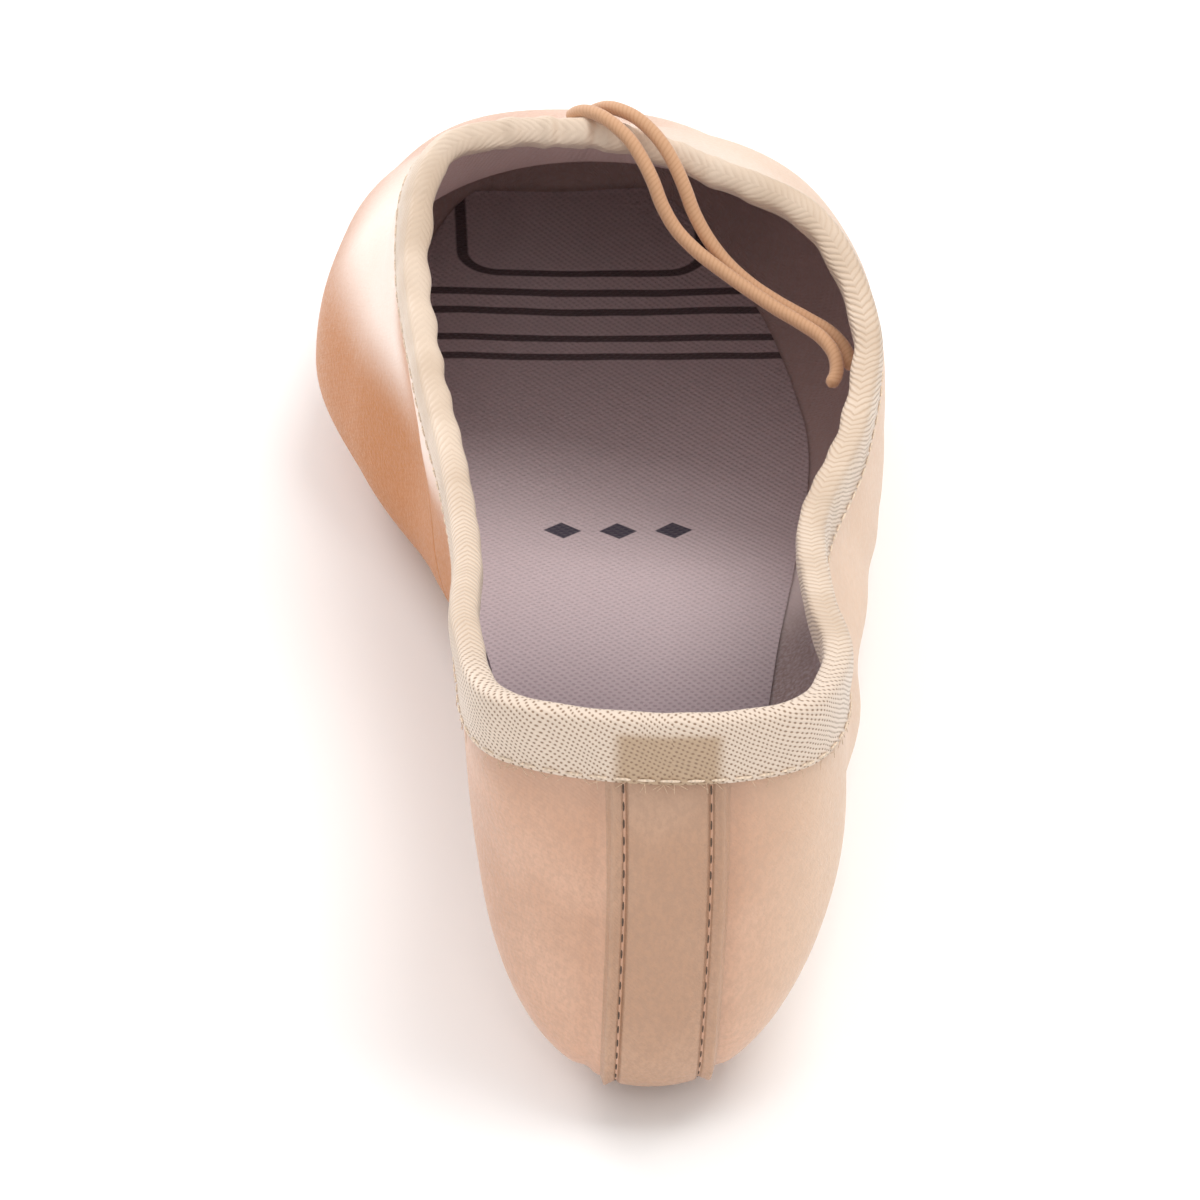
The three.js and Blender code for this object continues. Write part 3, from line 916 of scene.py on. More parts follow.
def tape_look(name):
    """Herringbone tape: ribs that meet in a V along the crown and break into beads below it, with
    painted shade in the weave's pits and in the buttonholes.
    """
    look = Look(name, Specular_IOR_Level=0.45, Sheen_Weight=0.25, Sheen_Roughness=0.4)
    u, v, _ = look.split(look.uv)
    wander = look.less(look.noise("tape_wander"), 0.5)
    u = look.math("MULTIPLY_ADD", wander, RIB_WANDER * MM, u)
    wide = look.math("ABSOLUTE", v)
    x, y, _ = look.on_last()
    heel = look.zone(y, "tape_heel")
    weave, beaded = tape_weave(look, u, wide, heel)
    pale = look.mix(heel, look.mottled("tape"), tone("tape_heel"))
    behind = look.product(look.zone(y, "join_behind"), look.zone(wide, "join_below"))
    join = look.product(look.zone(look.math("ABSOLUTE", x), "join_side"), behind, 0.8)
    pale = look.mix(join, pale, tone("tape_join"))
    # The weave's pits in painted shade, fainter towards the front.
    pit = look.mix(beaded, tone("rib_pit"), tone("bead_pit"))
    soft = look.zone(look.math("MULTIPLY_ADD", x, -0.8, y), "tape_soft_from")
    pit = look.mix(look.product(soft, 0.55), pit, pale)
    weave = look.mix_value(soft, weave, look.math("MULTIPLY_ADD", weave, 0.4, 0.5))
    # Painted shade in the buttonholes where the cords go in.
    holes = [look.distance(end[0]) for end in (UPPER_END, LOWER_END)]
    hole = look.largest([look.zone(away, "buttonhole") for away in holes])
    look.colour(look.mix(hole, look.mix(look.step(weave, 0.03, 0.7), pit, pale), tone("buttonhole")))
    look.roughness(look.step(weave, 0, 1, 0.7, 0.48))
    look.bump(weave, 0.16, 0.8)
    look.bump(look.noise("tape_fuzz"), 0.05, 0.6)
    return look.material


def lining_look(name):
    """Plain woven cotton, with painted shade low on the right, and darker and warmer towards the toe
    with painted shade.
    """
    look = Look(name, Specular_IOR_Level=0.25, Sheen_Weight=0.15)
    u, v, _ = look.split(look.uv)
    weave = look.product(look.wave(u, LINING_PITCH), look.wave(v, LINING_PITCH))
    fuzz = look.noise("lining_fuzz")
    x, y, z = look.on_last()
    low_right = look.product(look.zone(z, "lining_shade_below"), look.zone(x, "lining_shade_right"))
    shade = look.product(low_right, look.zone(y, "lining_shade_ends"))
    base = look.mix(shade, look.mottled("lining"), tone("lining_shade"))
    base = look.mix(look.zone(y, "lining_ball"), base, tone("lining_ball"))
    # Painted warm shade towards the toe.
    base = look.mix(look.zone(y, "lining_toe"), base, tone("lining_toe"))
    look.colour(look.mix(look.step(fuzz, 0.3, 0.8, 0, 0.35), base, tone("lining_deep")))
    look.roughness(0.85)
    look.bump(weave, 0.08, 0.7)
    look.bump(fuzz, 0.06, 0.6)
    return look.material


# What is printed on the sock, in mm from the heel back and from the middle: bands across it,
# the outline of a pad in front of them, and a row of small lozenges.
BANDS = [190.6, 196.5, 204.9, 210.6]
BAND_WIDTH = 1.6
PAD_FROM = 216.4
PAD_LENGTH = 28
PAD_MIDDLE = 2
PAD_SIDE = 20
PAD_ROUND = 6
PAD_LINE = 1.4
MARKS_AT = 135.5
MARKS_MIDDLE = 3
MARK_STEP = 8.5
MARK_SIZE = 3.1
PRINT_EDGE = 0.5
PRINT_WANDER = 1.2


def line_across(look, distance, width):
    """A printed line of this width in mm, from the distance to its middle."""
    away = look.math("ABSOLUTE", distance)
    return look.step(away, width / 2 * MM, (width / 2 + PRINT_EDGE) * MM, 1, 0)


def marks(look, x, y):
    """The row of lozenges across the insole."""
    along = look.math("ABSOLUTE", look.less(y, MARKS_AT * MM))
    shapes = []
    for k in (-1, 0, 1):
        across = look.less(x, (MARKS_MIDDLE + k * MARK_STEP) * MM)
        size = look.math("ADD", look.math("ABSOLUTE", across), along)
        shapes.append(look.step(size, (MARK_SIZE - 0.4) * MM, MARK_SIZE * MM, 1, 0))
    return look.largest(shapes)


def pad_outline(look, x, y):
    """The outline of a rectangle with round corners."""
    away = []
    sides = ((x, PAD_MIDDLE, PAD_SIDE), (y, PAD_FROM + PAD_LENGTH / 2, PAD_LENGTH / 2))
    for value, middle, half in sides:
        distance = look.math("ABSOLUTE", look.less(value, middle * MM))
        away.append(look.less(distance, (half - PAD_ROUND) * MM))
    outside = [look.math("MAXIMUM", value, 0.0) for value in away]
    squares = look.math("ADD", *[look.product(value, value) for value in outside])
    inside = look.math("MINIMUM", look.math("MAXIMUM", *away), 0.0)
    edge = look.math("ADD", look.math("SQRT", squares), inside)
    return line_across(look, look.less(edge, PAD_ROUND * MM), PAD_LINE)


def sock_look(name):
    """Twill sock cloth with what is printed on it, with painted shade at the heel and in the weave's
    pits and painted light towards the toe.
    """
    look = Look(name, Specular_IOR_Level=0.2, Sheen_Weight=0.2)
    x, y, _ = look.on_last()
    bend = look.product(look.less(look.noise("sock_wander"), 0.5), PRINT_WANDER * MM)
    y_print = look.math("ADD", y, bend)
    ink = [line_across(look, look.less(y_print, at * MM), BAND_WIDTH) for at in BANDS]
    ink = look.largest(ink + [pad_outline(look, x, y_print)])
    twill = look.wave(look.math("MULTIPLY_ADD", x, 0.8, look.product(y, 0.6)), SOCK_PITCHES[0])
    cross = look.wave(look.math("MULTIPLY_ADD", x, -0.6, look.product(y, 0.8)), SOCK_PITCHES[1])
    weave = look.woven(twill, cross, 0.3, 0.1, 0.8)
    # Painted shade at the heel and painted light towards the toe.
    forward = look.zone(y, "sock_toe")
    cloth = look.mix(forward, look.mottled("sock_heel"), tone("sock_toe"))
    # Painted shade in the weave's pits, fainter towards the toe.
    pitted = look.product(look.step(weave, 0.1, 0.75, 0.5, 0), look.mix_value(forward, 1.0, 0.3))
    cloth = look.mix(pitted, cloth, tone("sock_pit"))
    cloth = look.mix(look.product(ink, 0.88), cloth, tone("sock_ink"))
    cloth = look.mix(look.product(marks(look, x, y_print), 0.92), cloth, tone("sock_mark"))
    look.colour(cloth)
    look.roughness(0.8)
    look.bump(weave, 0.16, 0.8)
    look.bump(look.noise("sock_fuzz"), 0.05, 0.6)
    return look.material


def leather_look(name):
    """Split leather, pale tan, brushed, with scuffs on the walking side."""
    look = Look(name, Specular_IOR_Level=0.35)
    nap = look.noise("leather_nap")
    scuff = look.noise("leather_scuff")
    base = look.mottled("leather", (0.3, 0.7))
    base = look.mix(look.step(scuff, 0.55, 0.75, 0, 0.5), base, tone("leather_scuff"))
    look.colour(look.mix(look.step(nap, 0.3, 0.8, 0, 0.4), base, tone("leather_nap")))
    look.roughness(0.78)
    look.bump(nap, 0.12, 0.7)
    return look.material


def cord_look(name):
    """Peach cotton cord, its plies laid round each other a little unevenly, with painted shade in the
    grooves between them.
    """
    look = Look(name, Specular_IOR_Level=0.35, Sheen_Weight=0.3)
    u, v, _ = look.split(look.uv)
    uneven = look.product(look.noise("cord_wander"), 0.5 * MM)
    lay = look.wave(look.math("ADD", look.math("ADD", u, uneven), look.product(v, 0.4)), CORD_LAY)
    # Painted shade in the grooves between the plies.
    look.colour(look.mix(look.step(lay, 0, 0.6), tone("cord_deep"), tone("cord")))
    look.roughness(0.7)
    look.bump(lay, 0.025, 0.4)
    look.bump(look.noise("cord_fuzz"), 0.07, 0.6)
    return look.material


def thread_look(name):
    """Thread of the tone that has the look's name."""
    look = Look(name, Specular_IOR_Level=0.3)
    fuzz = look.noise("thread_fuzz")
    dark = shaded(tone(name), 0.7, 0.7, 0.7)
    look.colour(look.mix(look.step(fuzz, 0.3, 0.7), dark, tone(name)))
    look.roughness(0.7)
    look.bump(fuzz, 0.05, 0.6)
    return look.material


# ---- the camera ----------------------------------------------------------------------------
CAMERA_AT = (-53.1, -666.35, 438.5)
LOOKS_DOWN = 33
TURNED_RIGHT = 3.69
LENS = 158


def make_camera():
    data = bpy.data.cameras.new("camera")
    data.lens = LENS
    data.sensor_width = 36
    data.clip_start = 0.01
    data.clip_end = 20
    camera = link("camera", data)
    tilt = Matrix.Rotation(math.radians(90 - LOOKS_DOWN), 4, "X")
    turn = Matrix.Rotation(math.radians(-TURNED_RIGHT), 4, "Y")
    camera.matrix_world = Matrix.Translation(Vector(CAMERA_AT) * MM) @ tilt @ turn
    bpy.context.scene.camera = camera


# ---- the drawstring ------------------------------------------------------------------------
CORD_ROWS = 150
CORD_SIDES = 18
CORD_TIP = 0.03  # the square of the share of its radius that is left at the very tip


def smooth_route(points, count):
    """An open curve through the route's points, evenly resampled."""
    points = np.asarray(points, float)
    first = 2 * points[0] - points[1]
    last = 2 * points[-1] - points[-2]
    padded = np.concatenate([[first], points, [last, last]])
    total = len(padded)
    share = np.linspace(1, len(points), 40 * len(points)) / total
    fine = closed_curve(padded, share)
    along = run_along(fine)
    return points_at(np.linspace(0, along[-1], count), along, fine)


def drawstring(name, route, look):
    line = smooth_route(route, CORD_ROWS)
    forward = unit(np.gradient(line, axis=0))
    side = unit(np.cross(forward, [0, 0, 1]))
    out = np.cross(side, forward)
    turn = np.arange(CORD_SIDES) / CORD_SIDES * 2 * math.pi
    along = run_along(line)
    to_end = np.minimum(along, along[-1] - along) / (CORD / 2)
    radius = CORD / 2 * np.sqrt(np.maximum(1 - (1 - np.minimum(to_end, 1)) ** 2, CORD_TIP))
    ring_points = (
        side[:, None] * np.cos(turn)[None, :, None] + out[:, None] * np.sin(turn)[None, :, None]
    )
    rows = line[:, None] + ring_points * radius[:, None, None]
    thing = shell(name, rows, along, 0, look, closed=False)
    return thing


# ---- the upper -----------------------------------------------------------------------------
# Soft troughs (depth over 0) and ridges (under 0): side, from y, z, to y, z, half width, depth.
CREASES = [
    (-1, 92, 50, 104, 18, 5, 0.9),
    (-1, 104, 46, 122, 16, 7, -0.5),
    (-1, 60, 54, 84, 20, 8, 0.6),
    (-1, 138, 58, 168, 30, 7, 0.5),
    (1, 84, 46, 104, 16, 6, 0.8),
    (1, 112, 44, 128, 18, 6, -0.5),
    (1, 60, 52, 76, 22, 8, 0.5),
    (1, 140, 52, 170, 30, 7, 0.5),
]
CREASE_FADES = (-0.35, 0.15)  # from before its end to past it, in shares of its length
CREASE_CLEAR = 12  # no crease this near the middle line
CREASE_MARGIN = (2, 14)
PLEATS = 34
PLEAT_DEPTH = 0.8
PLEAT_REACH = (4, 26)
PLEAT_ROUND = 0.7
PLEAT_CENTRE = 0.8 * LENGTH
PLEATS_START = (0.83 * LENGTH, 0.9 * LENGTH)
RELIEF_STARTS = 4  # above the collar line, so that the relief fades out towards it
RELIEF_FULL = 16
BESIDE_STRIP = 1.2
BESIDE_STRIP_DEPTH = 0.5
LINING_HEM = 0.985
LINING_GAP = 0.05


def creased(points):
    """How far the satin stands in from the last at these points because of its creases."""
    x, y, z = np.moveaxis(points, -1, 0)
    inward = 0 * x
    for side, y0, z0, y1, z1, width, depth in CREASES:
        run = np.array([y1 - y0, z1 - z0], float)
        size = np.hypot(*run)
        run /= size
        along = (y - y0) * run[0] + (z - z0) * run[1]
        away = np.abs((y - y0) * run[1] - (z - z0) * run[0])
        ends = smooth(*CREASE_FADES, along / size) * smooth(*CREASE_FADES, 1 - along / size)
        inward += depth * np.exp(-((away / width) ** 2)) * ends * smooth(0, CREASE_CLEAR, side * x)
    return inward


def pleated(points, from_margin):
    """Relief of the pleats that gather the satin under the toe."""
    x, y = points[..., 0], points[..., 1]
    turn = np.arctan2(x, y - PLEAT_CENTRE)
    fold = np.abs(np.sin(turn * PLEATS / 2)) ** PLEAT_ROUND
    near = 1 - smooth(*PLEAT_REACH, from_margin)
    return -PLEAT_DEPTH * fold * near * smooth(*PLEATS_START, y)


def satin(wall):
    rise = np.linspace(1, 0, SATIN_ROWS)
    down = wall.height[:, None] * rise
    points, out = wall.at(down)
    from_margin = wall.height[:, None] - down
    relief = pleated(points, from_margin) - creased(points) * smooth(*CREASE_MARGIN, from_margin)
    beside = np.abs(points[..., 0]) - STRIP_WIDTH / 2 - BESIDE_STRIP
    relief -= BESIDE_STRIP_DEPTH * np.exp(-(beside**2)) * (points[..., 1] < HEEL_PIVOT)
    relief *= smooth(0, RELIEF_FULL, down + RELIEF_STARTS)
    face = points + out * relief[..., None]
    back_down = wall.height[:, None] * np.linspace(0, 1, BACK_ROWS)
    back_points, back_out = wall.at(back_down)
    rows = np.concatenate([face, back_points - back_out * SATIN], 1)
    look = satin_look("satin", tone("satin"))
    return shell("upper_satin", rows, wall.run, SATIN_ROWS - 1, look)


def lining(wall):
    down = wall.height[:, None] * np.linspace(0, LINING_HEM, LINING_ROWS)
    points, out = wall.at(down)
    thick = wall_thickness(points[..., 1])
    face = points - out * thick[..., None]
    back_points, back_out = wall.at(wall.height[:, None] * np.linspace(LINING_HEM, 0, BACK_ROWS))
    rows = np.concatenate([face, back_points - back_out * (SATIN + LINING_GAP)], 1)
    return shell("upper_lining", rows[:, ::-1], wall.run, 0, lining_look("lining"))


TAPE_STEPS = 15  # down each face of the tape, and over its crown
HEEL_FADES = (22, 74)  # y between which the tape narrows from the heel to the sides
THROAT_STARTS = (0.5 * LENGTH, 0.58 * LENGTH)
CASING_STARTS = (10, 60)
CASING_AT_HEEL = 0.45
CASING_MIDDLE = 1.4
CASING_HALF = 1.9
PUCKER_SHARE = 0.5
PUCKER_REACH = 5
SCALLOP_REACH = 3
TAPE_FLATTENS = (3, 6)
CROWN_ROUND = 0.8


def tape_depths(y):
    """How far the tape reaches down outside and inside, at these places along the collar."""
    heel = 1 - smooth(*HEEL_FADES, y)
    outside = TAPE_OUTSIDE_SIDES + (TAPE_OUTSIDE - TAPE_OUTSIDE_SIDES) * heel
    return outside, TAPE_INSIDE + (TAPE_INSIDE_THROAT - TAPE_INSIDE) * smooth(*THROAT_STARTS, y)


def tape(wall):
    """The binding: outer face, crown over the drawstring, inner face, and back the other way."""
    place_round = np.arange(TAPE_STATIONS) / TAPE_STATIONS * wall.count
    outside, inside = tape_depths(wall.top[:, 1])
    outer_down = outside[:, None] * np.linspace(1, 0, TAPE_STEPS)
    inner_down = inside[:, None] * np.linspace(0, 1, TAPE_STEPS)
    down = np.concatenate([outer_down, inner_down], 1)
    points, out = wall.at(down)
    points, out, down = (between(values, place_round) for values in (points, out, down))
    out = unit(out)
    top = points[:, TAPE_STEPS - 1]
    up = unit(top - points[:, TAPE_STEPS - 2])
    normal = out[:, TAPE_STEPS - 1]
    thick = between(wall_thickness(wall.top[:, 1]), place_round)[:, None]
    run = run_along(ring(top))
    half = thick / 2 + TAPE + TAPE_SWELL
    pucker = gathers(run[:-1], top)[:, None]
    scallop = scallops(run[:-1], top)[:, None]
    casing = CASING * (CASING_AT_HEEL + (1 - CASING_AT_HEEL) * smooth(*CASING_STARTS, top[:, 1:2]))

    def swell(depth):
        filled = casing * np.exp(-(((depth - CASING_MIDDLE) / CASING_HALF) ** 2))
        return filled + PUCKER_SHARE * pucker * np.exp(-((depth / PUCKER_REACH) ** 2))

    sign = np.where(np.arange(2 * TAPE_STEPS) < TAPE_STEPS, 1, -1)
    reach = half + swell(down) - TAPE_SWELL * smooth(*TAPE_FLATTENS, down)
    inner_edge = scallop * np.exp(-((down / SCALLOP_REACH) ** 2)) * (sign < 0)
    faces = points + out * (sign * (reach + inner_edge) - thick / 2)[..., None]
    turn = np.linspace(0, math.pi, TAPE_STEPS + 2)[1:-1]
    side = half + swell(np.zeros((1, 1))) + scallop * (turn > math.pi / 2)
    middle = top - normal * thick / 2
    crown = (
        middle[:, None]
        + normal[:, None] * (np.cos(turn) * side)[..., None]
        + up[:, None] * (np.sin(turn) ** CROWN_ROUND * (CROWN_RISE + pucker))[..., None]
    )
    face = np.concatenate([faces[:, :TAPE_STEPS], crown, faces[:, TAPE_STEPS:]], 1)
    near = TAPE_SWELL / 2
    back = [
        points[:, k] + out[:, k] * (way * (thick / 2 + near) - thick / 2)
        for k, way in ((2 * TAPE_STEPS - 1, -1), (TAPE_STEPS, -1), (TAPE_STEPS - 1, 1), (0, 1))
    ]
    rows = np.concatenate([face, np.stack(back, 1)], 1)
    zero = TAPE_STEPS + TAPE_STEPS // 2
    made = shell("collar_tape", rows, run, zero, tape_look("tape"))
    return made, rows[:, 0], out[:, 0], up


def ripple(run, length, sway=0, sway_length=1):
    """A sine along the collar, with this wavelength in mm, that sways to and fro."""
    return np.sin(run / length * 2 * math.pi + sway * np.sin(run / sway_length))


GATHER_FRONT = 0.34
GATHER_SIDES = 0.12
ROLL_RIGHT = 0.3
GATHERS_MIDDLE = -2  # x, and half their width
GATHERS_HALF = 19
GATHERS_LEFT = (8, 24)
GATHERS_LEFT_START = (0.4 * LENGTH, 0.47 * LENGTH)
ROLL_STARTS = (12, 22)
ROLL_FROM = (0.5 * LENGTH, 0.55 * LENGTH)
SIDES_EVERYWHERE = 0.3
HALF_GATHER = 0.5

# Ripples along the collar: wavelength, how far it sways, and how slowly.
FINE_GATHERS = (5.3, 1.3, 17)
FINER_GATHERS = (2.9,)
SOFT_GATHERS = (9.1, 0.7, 23)
SCALLOPS = (9.4, 2.1, 14)


def gathers(run, top):
    """How far the drawstring's gathers swell the tape, along the collar."""
    x, y = top[:, 0], top[:, 1]
    middle = np.exp(-(((x - GATHERS_MIDDLE) / GATHERS_HALF) ** 2))
    front = middle * smooth(*THROAT_STARTS, y)
    left = smooth(*GATHERS_LEFT, -x) * smooth(*GATHERS_LEFT_START, y)
    right = smooth(*ROLL_STARTS, x) * smooth(*ROLL_FROM, y)
    fine = ripple(run, *FINE_GATHERS) + HALF_GATHER * ripple(run, *FINER_GATHERS)
    sides = GATHER_SIDES * ripple(run, *SOFT_GATHERS) * (SIDES_EVERYWHERE + left)
    return GATHER_FRONT * fine * front + sides + ROLL_RIGHT * right


SCALLOP = 0.06
SCALLOP_BALL = 0.12
BALL_STARTS = (0.3 * LENGTH, 0.45 * LENGTH)


def scallops(run, top):
    """Small waves of the tape's inner edge, where the drawstring pulls it."""
    ball = smooth(*BALL_STARTS, top[:, 1])
    return (SCALLOP + SCALLOP_BALL * ball) * ripple(run, *SCALLOPS)


STRIP_ROWS = 130
STRIP_POINTS = 91
STRIP_STATIONS = 26  # lines of the wall on each side that it may lie on
STRIP_UNDER_TAPE = 1.5
STRIP_STOPS = 2.5  # above the sole
STRIP_BEHIND_SOLE = 0.4
STRIP_MARGIN = 0.5  # across, past its edge
STRIP_EDGE_IN = 0.15
STRIP_EDGE_OUT = 0.3
STRIP_BACK_POINTS = 10  # one point of the back for this many of the face
STRIP_RISES = (-3, 9)  # rows
STRIP_PROUD = 0.32
STRIP_SUNK = 0.12
STRIP_SINKS = 0.35
STRIP_BACK = 0.15
STRIP_END = 14  # rows over which it flattens
STRIP_FLAT = 0.85

# Swells across the strip: how far from its middle, half width and height.
STRIP_SWELLS = [(STRIP_WIDTH / 2 - 0.62, 0.5, 0.7), (SEAM_LINE, 0.3, -0.4)]


def heel_strip(wall):
    """The strip over the heel seam, with a soft ridge along each edge."""
    near = np.arange(-STRIP_STATIONS, STRIP_STATIONS + 1)
    behind_sole = wall.line[0][:, 1] < SOLE_START - STRIP_BEHIND_SOLE
    foot = wall.down[0][behind_sole].max() - STRIP_STOPS
    down = np.linspace(TAPE_OUTSIDE - STRIP_UNDER_TAPE, foot, STRIP_ROWS)
    points, out = wall.at(down)
    points, out = points[near], out[near]
    edge = STRIP_WIDTH / 2
    across = np.linspace(-edge - STRIP_MARGIN, edge + STRIP_MARGIN, STRIP_POINTS)
    away = np.abs(across)
    proud = STRIP_PROUD * (1 - smooth(edge - STRIP_EDGE_IN, edge + STRIP_EDGE_OUT, away))
    proud -= STRIP_SUNK * (away > edge + STRIP_SINKS)
    for middle, half, height in STRIP_SWELLS:
        proud += height * np.exp(-(((away - middle) / half) ** 2))
    rows, face = [], []
    for j in range(STRIP_ROWS):
        along = run_along(points[:, j])
        lean = np.interp(STRIP_LEAN * j / STRIP_ROWS, points[:, j, 0], np.linspace(0, 1, len(points)))
        wanted = across + lean * along[-1]
        at = points_at(wanted, along, points[:, j])
        normal = unit(points_at(wanted, along, out[:, j]))
        flattens = smooth(STRIP_ROWS - STRIP_END, STRIP_ROWS - 2, j)
        fade = smooth(*STRIP_RISES, j) * (1 - STRIP_FLAT * flattens)
        face.append(at + normal * proud[:, None] * fade)
        rows.append(np.concatenate([face[-1], (at - normal * STRIP_BACK)[::-STRIP_BACK_POINTS]]))
    look = satin_look("strip_satin", tone("strip"), strip=True)
    middle = STRIP_POINTS // 2
    return shell("heel_strip", np.array(rows), down, middle, look, closed=False), np.array(face), across


STITCH_STEP = 3.1
HEEL_STITCH_STEP = 2.5
HEEL_STITCHES_START = 2.6
HEEL_STITCHES_STOP = 5  # before the strip's foot
HEEL_STITCH_AHEAD = 0.5  # how far on its direction is taken
TAPE_STITCH_UP = 0.6
TAPE_STITCH_OUT = 0.16

# Length, width and height of one.
HEEL_STITCH = (1.4, 0.34, 0.28)
TAPE_STITCH = (2.3, 0.38, 0.34)
HAIR = (1.6, 0.1, 0.1)


def heel_stitches(top, across):
    """Two rows of stitches down the strip, each in the trough inside a ridge."""
    middles, along, out = [], [], []
    for side in (-1, 1):
        column_at = int(np.argmin(np.abs(across - side * SEAM_LINE)))
        line = top[:, column_at]
        beside = top[:, column_at + 1] - top[:, column_at - 1]
        run = run_along(line)
        for wanted in np.arange(HEEL_STITCHES_START, run[-1] - HEEL_STITCHES_STOP, HEEL_STITCH_STEP):
            here = points_at(wanted, run, line)
            below = points_at(wanted + HEEL_STITCH_AHEAD, run, line)
            middles.append(here)
            along.append(below - here)
            out.append(np.cross(points_at(wanted, run, beside), here - below))
    look = thread_look("heel_thread")
    return beads("heel_stitches", middles, np.array(along), np.array(out), HEEL_STITCH, look)


def tape_stitches(edge, out, up):
    """Stitches along the tape's outer edge."""
    run = run_along(ring(edge))
    wanted = np.arange(0, run[-1], STITCH_STEP)
    at = np.interp(wanted, run[:-1], np.arange(len(edge)))
    middles = between(edge, at) + between(up, at) * TAPE_STITCH_UP
    middles = middles + between(out, at) * TAPE_STITCH_OUT
    along = between(np.roll(edge, -1, 0) - np.roll(edge, 1, 0), at)
    look = thread_look("tape_thread")
    return beads("tape_stitches", middles, along, between(out, at), TAPE_STITCH, look)


HAIRS = 70
HAIR_REACH = (34, 40)  # to each side of the middle, and forward
HAIR_SEED = 7
HAIR_LEAN = 1.2
HAIR_HANG = (0.3, 1)
HAIR_DOWN = 0.5
HAIR_OUT = 0.12


def tape_hairs(edge, out, up):
    """Loose ends of thread along the tape's lower edge at the heel."""
    draw = np.random.default_rng(HAIR_SEED)
    heel = np.flatnonzero((np.abs(edge[:, 0]) < HAIR_REACH[0]) & (edge[:, 1] < HAIR_REACH[1]))
    at = draw.choice(heel, HAIRS)
    across = np.roll(edge, -3, 0)[at] - edge[at]
    lean = draw.uniform(-HAIR_LEAN, HAIR_LEAN, (HAIRS, 1))
    along = unit(across) * lean - up[at] * draw.uniform(*HAIR_HANG, (HAIRS, 1))
    middles = edge[at] + unit(along) * HAIR_DOWN + out[at] * HAIR_OUT
    return beads("tape_hairs", middles, along, out[at], HAIR, thread_look("hair"))


# ---- the insole and the outsole -------------------------------------------------------------
INSOLE_CLEAR = GAP + 0.1
INSOLE_POINTS = 61
INSOLE_BACK = 9
INSOLE_DISH = 0.5
INSOLE_ENDS = 12  # lines of the wall that it stops short of at the heel and the toe
SOLE_ROWS = 170
SOLE_BEVEL = 0.7
SOLE_UNDER = 25
SOLE_OVER = 7
BEVEL_STEPS = 5
SOLE_TUCK = 0.15


def insole(wall):
    thick = wall_thickness(wall.line[..., 1]) + INSOLE_CLEAR
    inner = wall.line - wall.normal * thick[..., None]
    above = inner[..., 2] - underside(inner[..., 1]) - QUARTER_WALL - INSOLE_CLEAR
    foot = BOX_WALL - QUARTER_WALL + INSOLE_CLEAR
    low_part = FINE_UP // 2

    def rim(i, up):
        i %= wall.count
        return points_at(up, above[i, :low_part], inner[i, :low_part])

    rows = []
    across = np.linspace(0, 1, INSOLE_POINTS)[:, None]
    dish = -INSOLE_DISH * (4 * across * (1 - across)) ** 2 * [0, 0, 1]
    for i in range(INSOLE_ENDS, wall.count // 2 - INSOLE_ENDS + 1, 2):
        right, left = rim(i, foot + INSOLE), rim(-i, foot + INSOLE)
        low_right, low_left = rim(i, foot), rim(-i, foot)
        face = left + (right - left) * across + dish
        back = low_right + (low_left - low_right) * np.linspace(0, 1, INSOLE_BACK)[:, None]
        rows.append(np.concatenate([face, back]))
    rows = np.array(rows)
    run = run_along(rows[:, INSOLE_POINTS // 2])
    return shell("insole_cloth", rows[::-1], run, 0, sock_look("sock"), closed=False)


def outsole():
    share = 0.5 - 0.5 * np.cos(np.pi * np.arange(SOLE_ROWS + 1) / SOLE_ROWS)
    y = SOLE_START + SOLE_END_TRIM + (SOLE_END - SOLE_START - 2 * SOLE_END_TRIM) * share
    top = underside(y) - GAP + SOLE_TUCK
    bottom = underside(y) - GAP - OUTSOLE
    turn = np.linspace(0, math.pi / 2, BEVEL_STEPS)
    rows = []
    for yk, half, high, low in zip(y, sole_outline(y), top, bottom):
        bevel = min(SOLE_BEVEL, half / 2)
        flat = half - bevel
        right = [(flat + bevel * math.cos(a), low + bevel - bevel * math.sin(a)) for a in turn]
        under = [(x, low) for x in np.linspace(flat, -flat, SOLE_UNDER)[1:-1]]
        left = [(-flat - bevel * math.sin(a), low + bevel - bevel * math.cos(a)) for a in turn]
        over = [(x, high) for x in np.linspace(-half, half, SOLE_OVER)]
        rows.append([(x, yk, z) for x, z in right + under + left + over])
    rows = np.array(rows)
    zero = BEVEL_STEPS + SOLE_UNDER // 2 - 1
    run = run_along(rows[:, zero])
    return shell("outsole_leather", rows[::-1], run, zero, leather_look("leather"), closed=False)


# ---- the studio ----------------------------------------------------------------------------
FLOOR = 6  # half its side, in metres


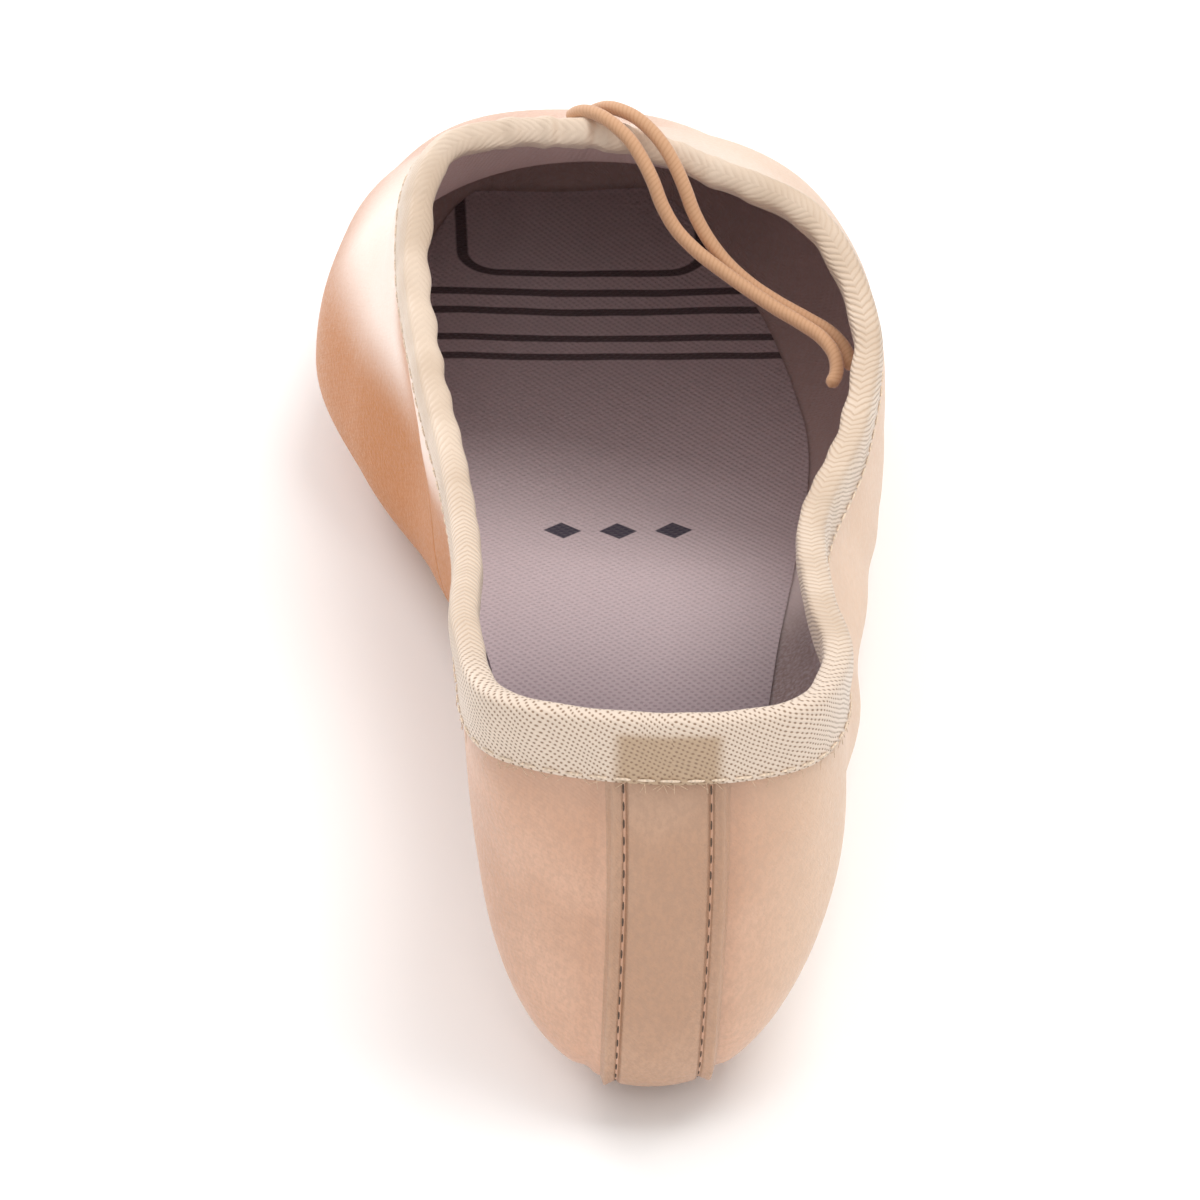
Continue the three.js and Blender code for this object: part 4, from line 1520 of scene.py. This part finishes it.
def make_floor():
    mesh = bpy.data.meshes.new("floor")
    corners = [(x * FLOOR, y * FLOOR, 0) for x, y in ((-1, -1), (1, -1), (1, 1), (-1, 1))]
    mesh.from_pydata(corners, [], [(0, 1, 2, 3)])
    look = Look("floor", Specular_IOR_Level=0.1)
    look.colour(look.mix(look.noise("floor_cloud"), tone("floor_deep"), tone("floor")))
    look.roughness(0.9)
    mesh.materials.append(look.material)
    link("floor", mesh)


# Square lamps turned to the origin: name, where, side in metres, watts, colour.
LIGHTS = [
    ("key", (0.4, -0.1, 1.5), 0.8, 11, (1.0, 0.98, 0.96)),
    ("left", (-0.7, 1.1, 0.8), 0.5, 9, (1.0, 0.97, 0.97)),
    ("fill", (-0.06, -0.8, 0.66), 0.3, 0.9, (1.0, 0.97, 0.95)),
]
WORLD = 0.7  # strength of the plain white surroundings


def light_studio():
    for name, at, size, watts, colour in LIGHTS:
        data = bpy.data.lights.new(name, "AREA")
        data.size = size
        data.energy = watts
        data.color = colour
        lamp = link(name, data)
        lamp.location = at
        lamp.rotation_euler = (-Vector(at)).to_track_quat("-Z", "Y").to_euler()
    world = bpy.data.worlds.new("world")
    bpy.context.scene.world = world
    world.use_nodes = True
    back = world.node_tree.nodes["Background"]
    back.inputs["Color"].default_value = (1, 1, 1, 1)
    back.inputs["Strength"].default_value = WORLD
    bpy.context.scene.view_settings.view_transform = "Standard"


# ---- the shoe ------------------------------------------------------------------------------
make_camera()
cord_finish = cord_look("cord")
keep(drawstring("drawstring_upper", UPPER_END, cord_finish), "cord", "drawstring_upper_end")
keep(drawstring("drawstring_lower", LOWER_END, cord_finish), "cord", "drawstring_lower_end")

shoe_wall = Wall(AROUND)
keep(satin(shoe_wall), "satin", "upper")
keep(lining(shoe_wall), "satin", "upper")
binding, binding_edge, binding_out, binding_up = tape(shoe_wall)
keep(binding, "tape", "collar_binding")
keep(tape_stitches(binding_edge, binding_out, binding_up), "tape")
keep(tape_hairs(binding_edge, binding_out, binding_up), "tape")
strip, strip_top, strip_across = heel_strip(shoe_wall)
keep(strip, "satin")
keep(heel_stitches(strip_top, strip_across), "satin")
keep(insole(shoe_wall), "sock_cloth", "insole")
keep(outsole(), "sole_leather", "outsole")

make_floor()
light_studio()
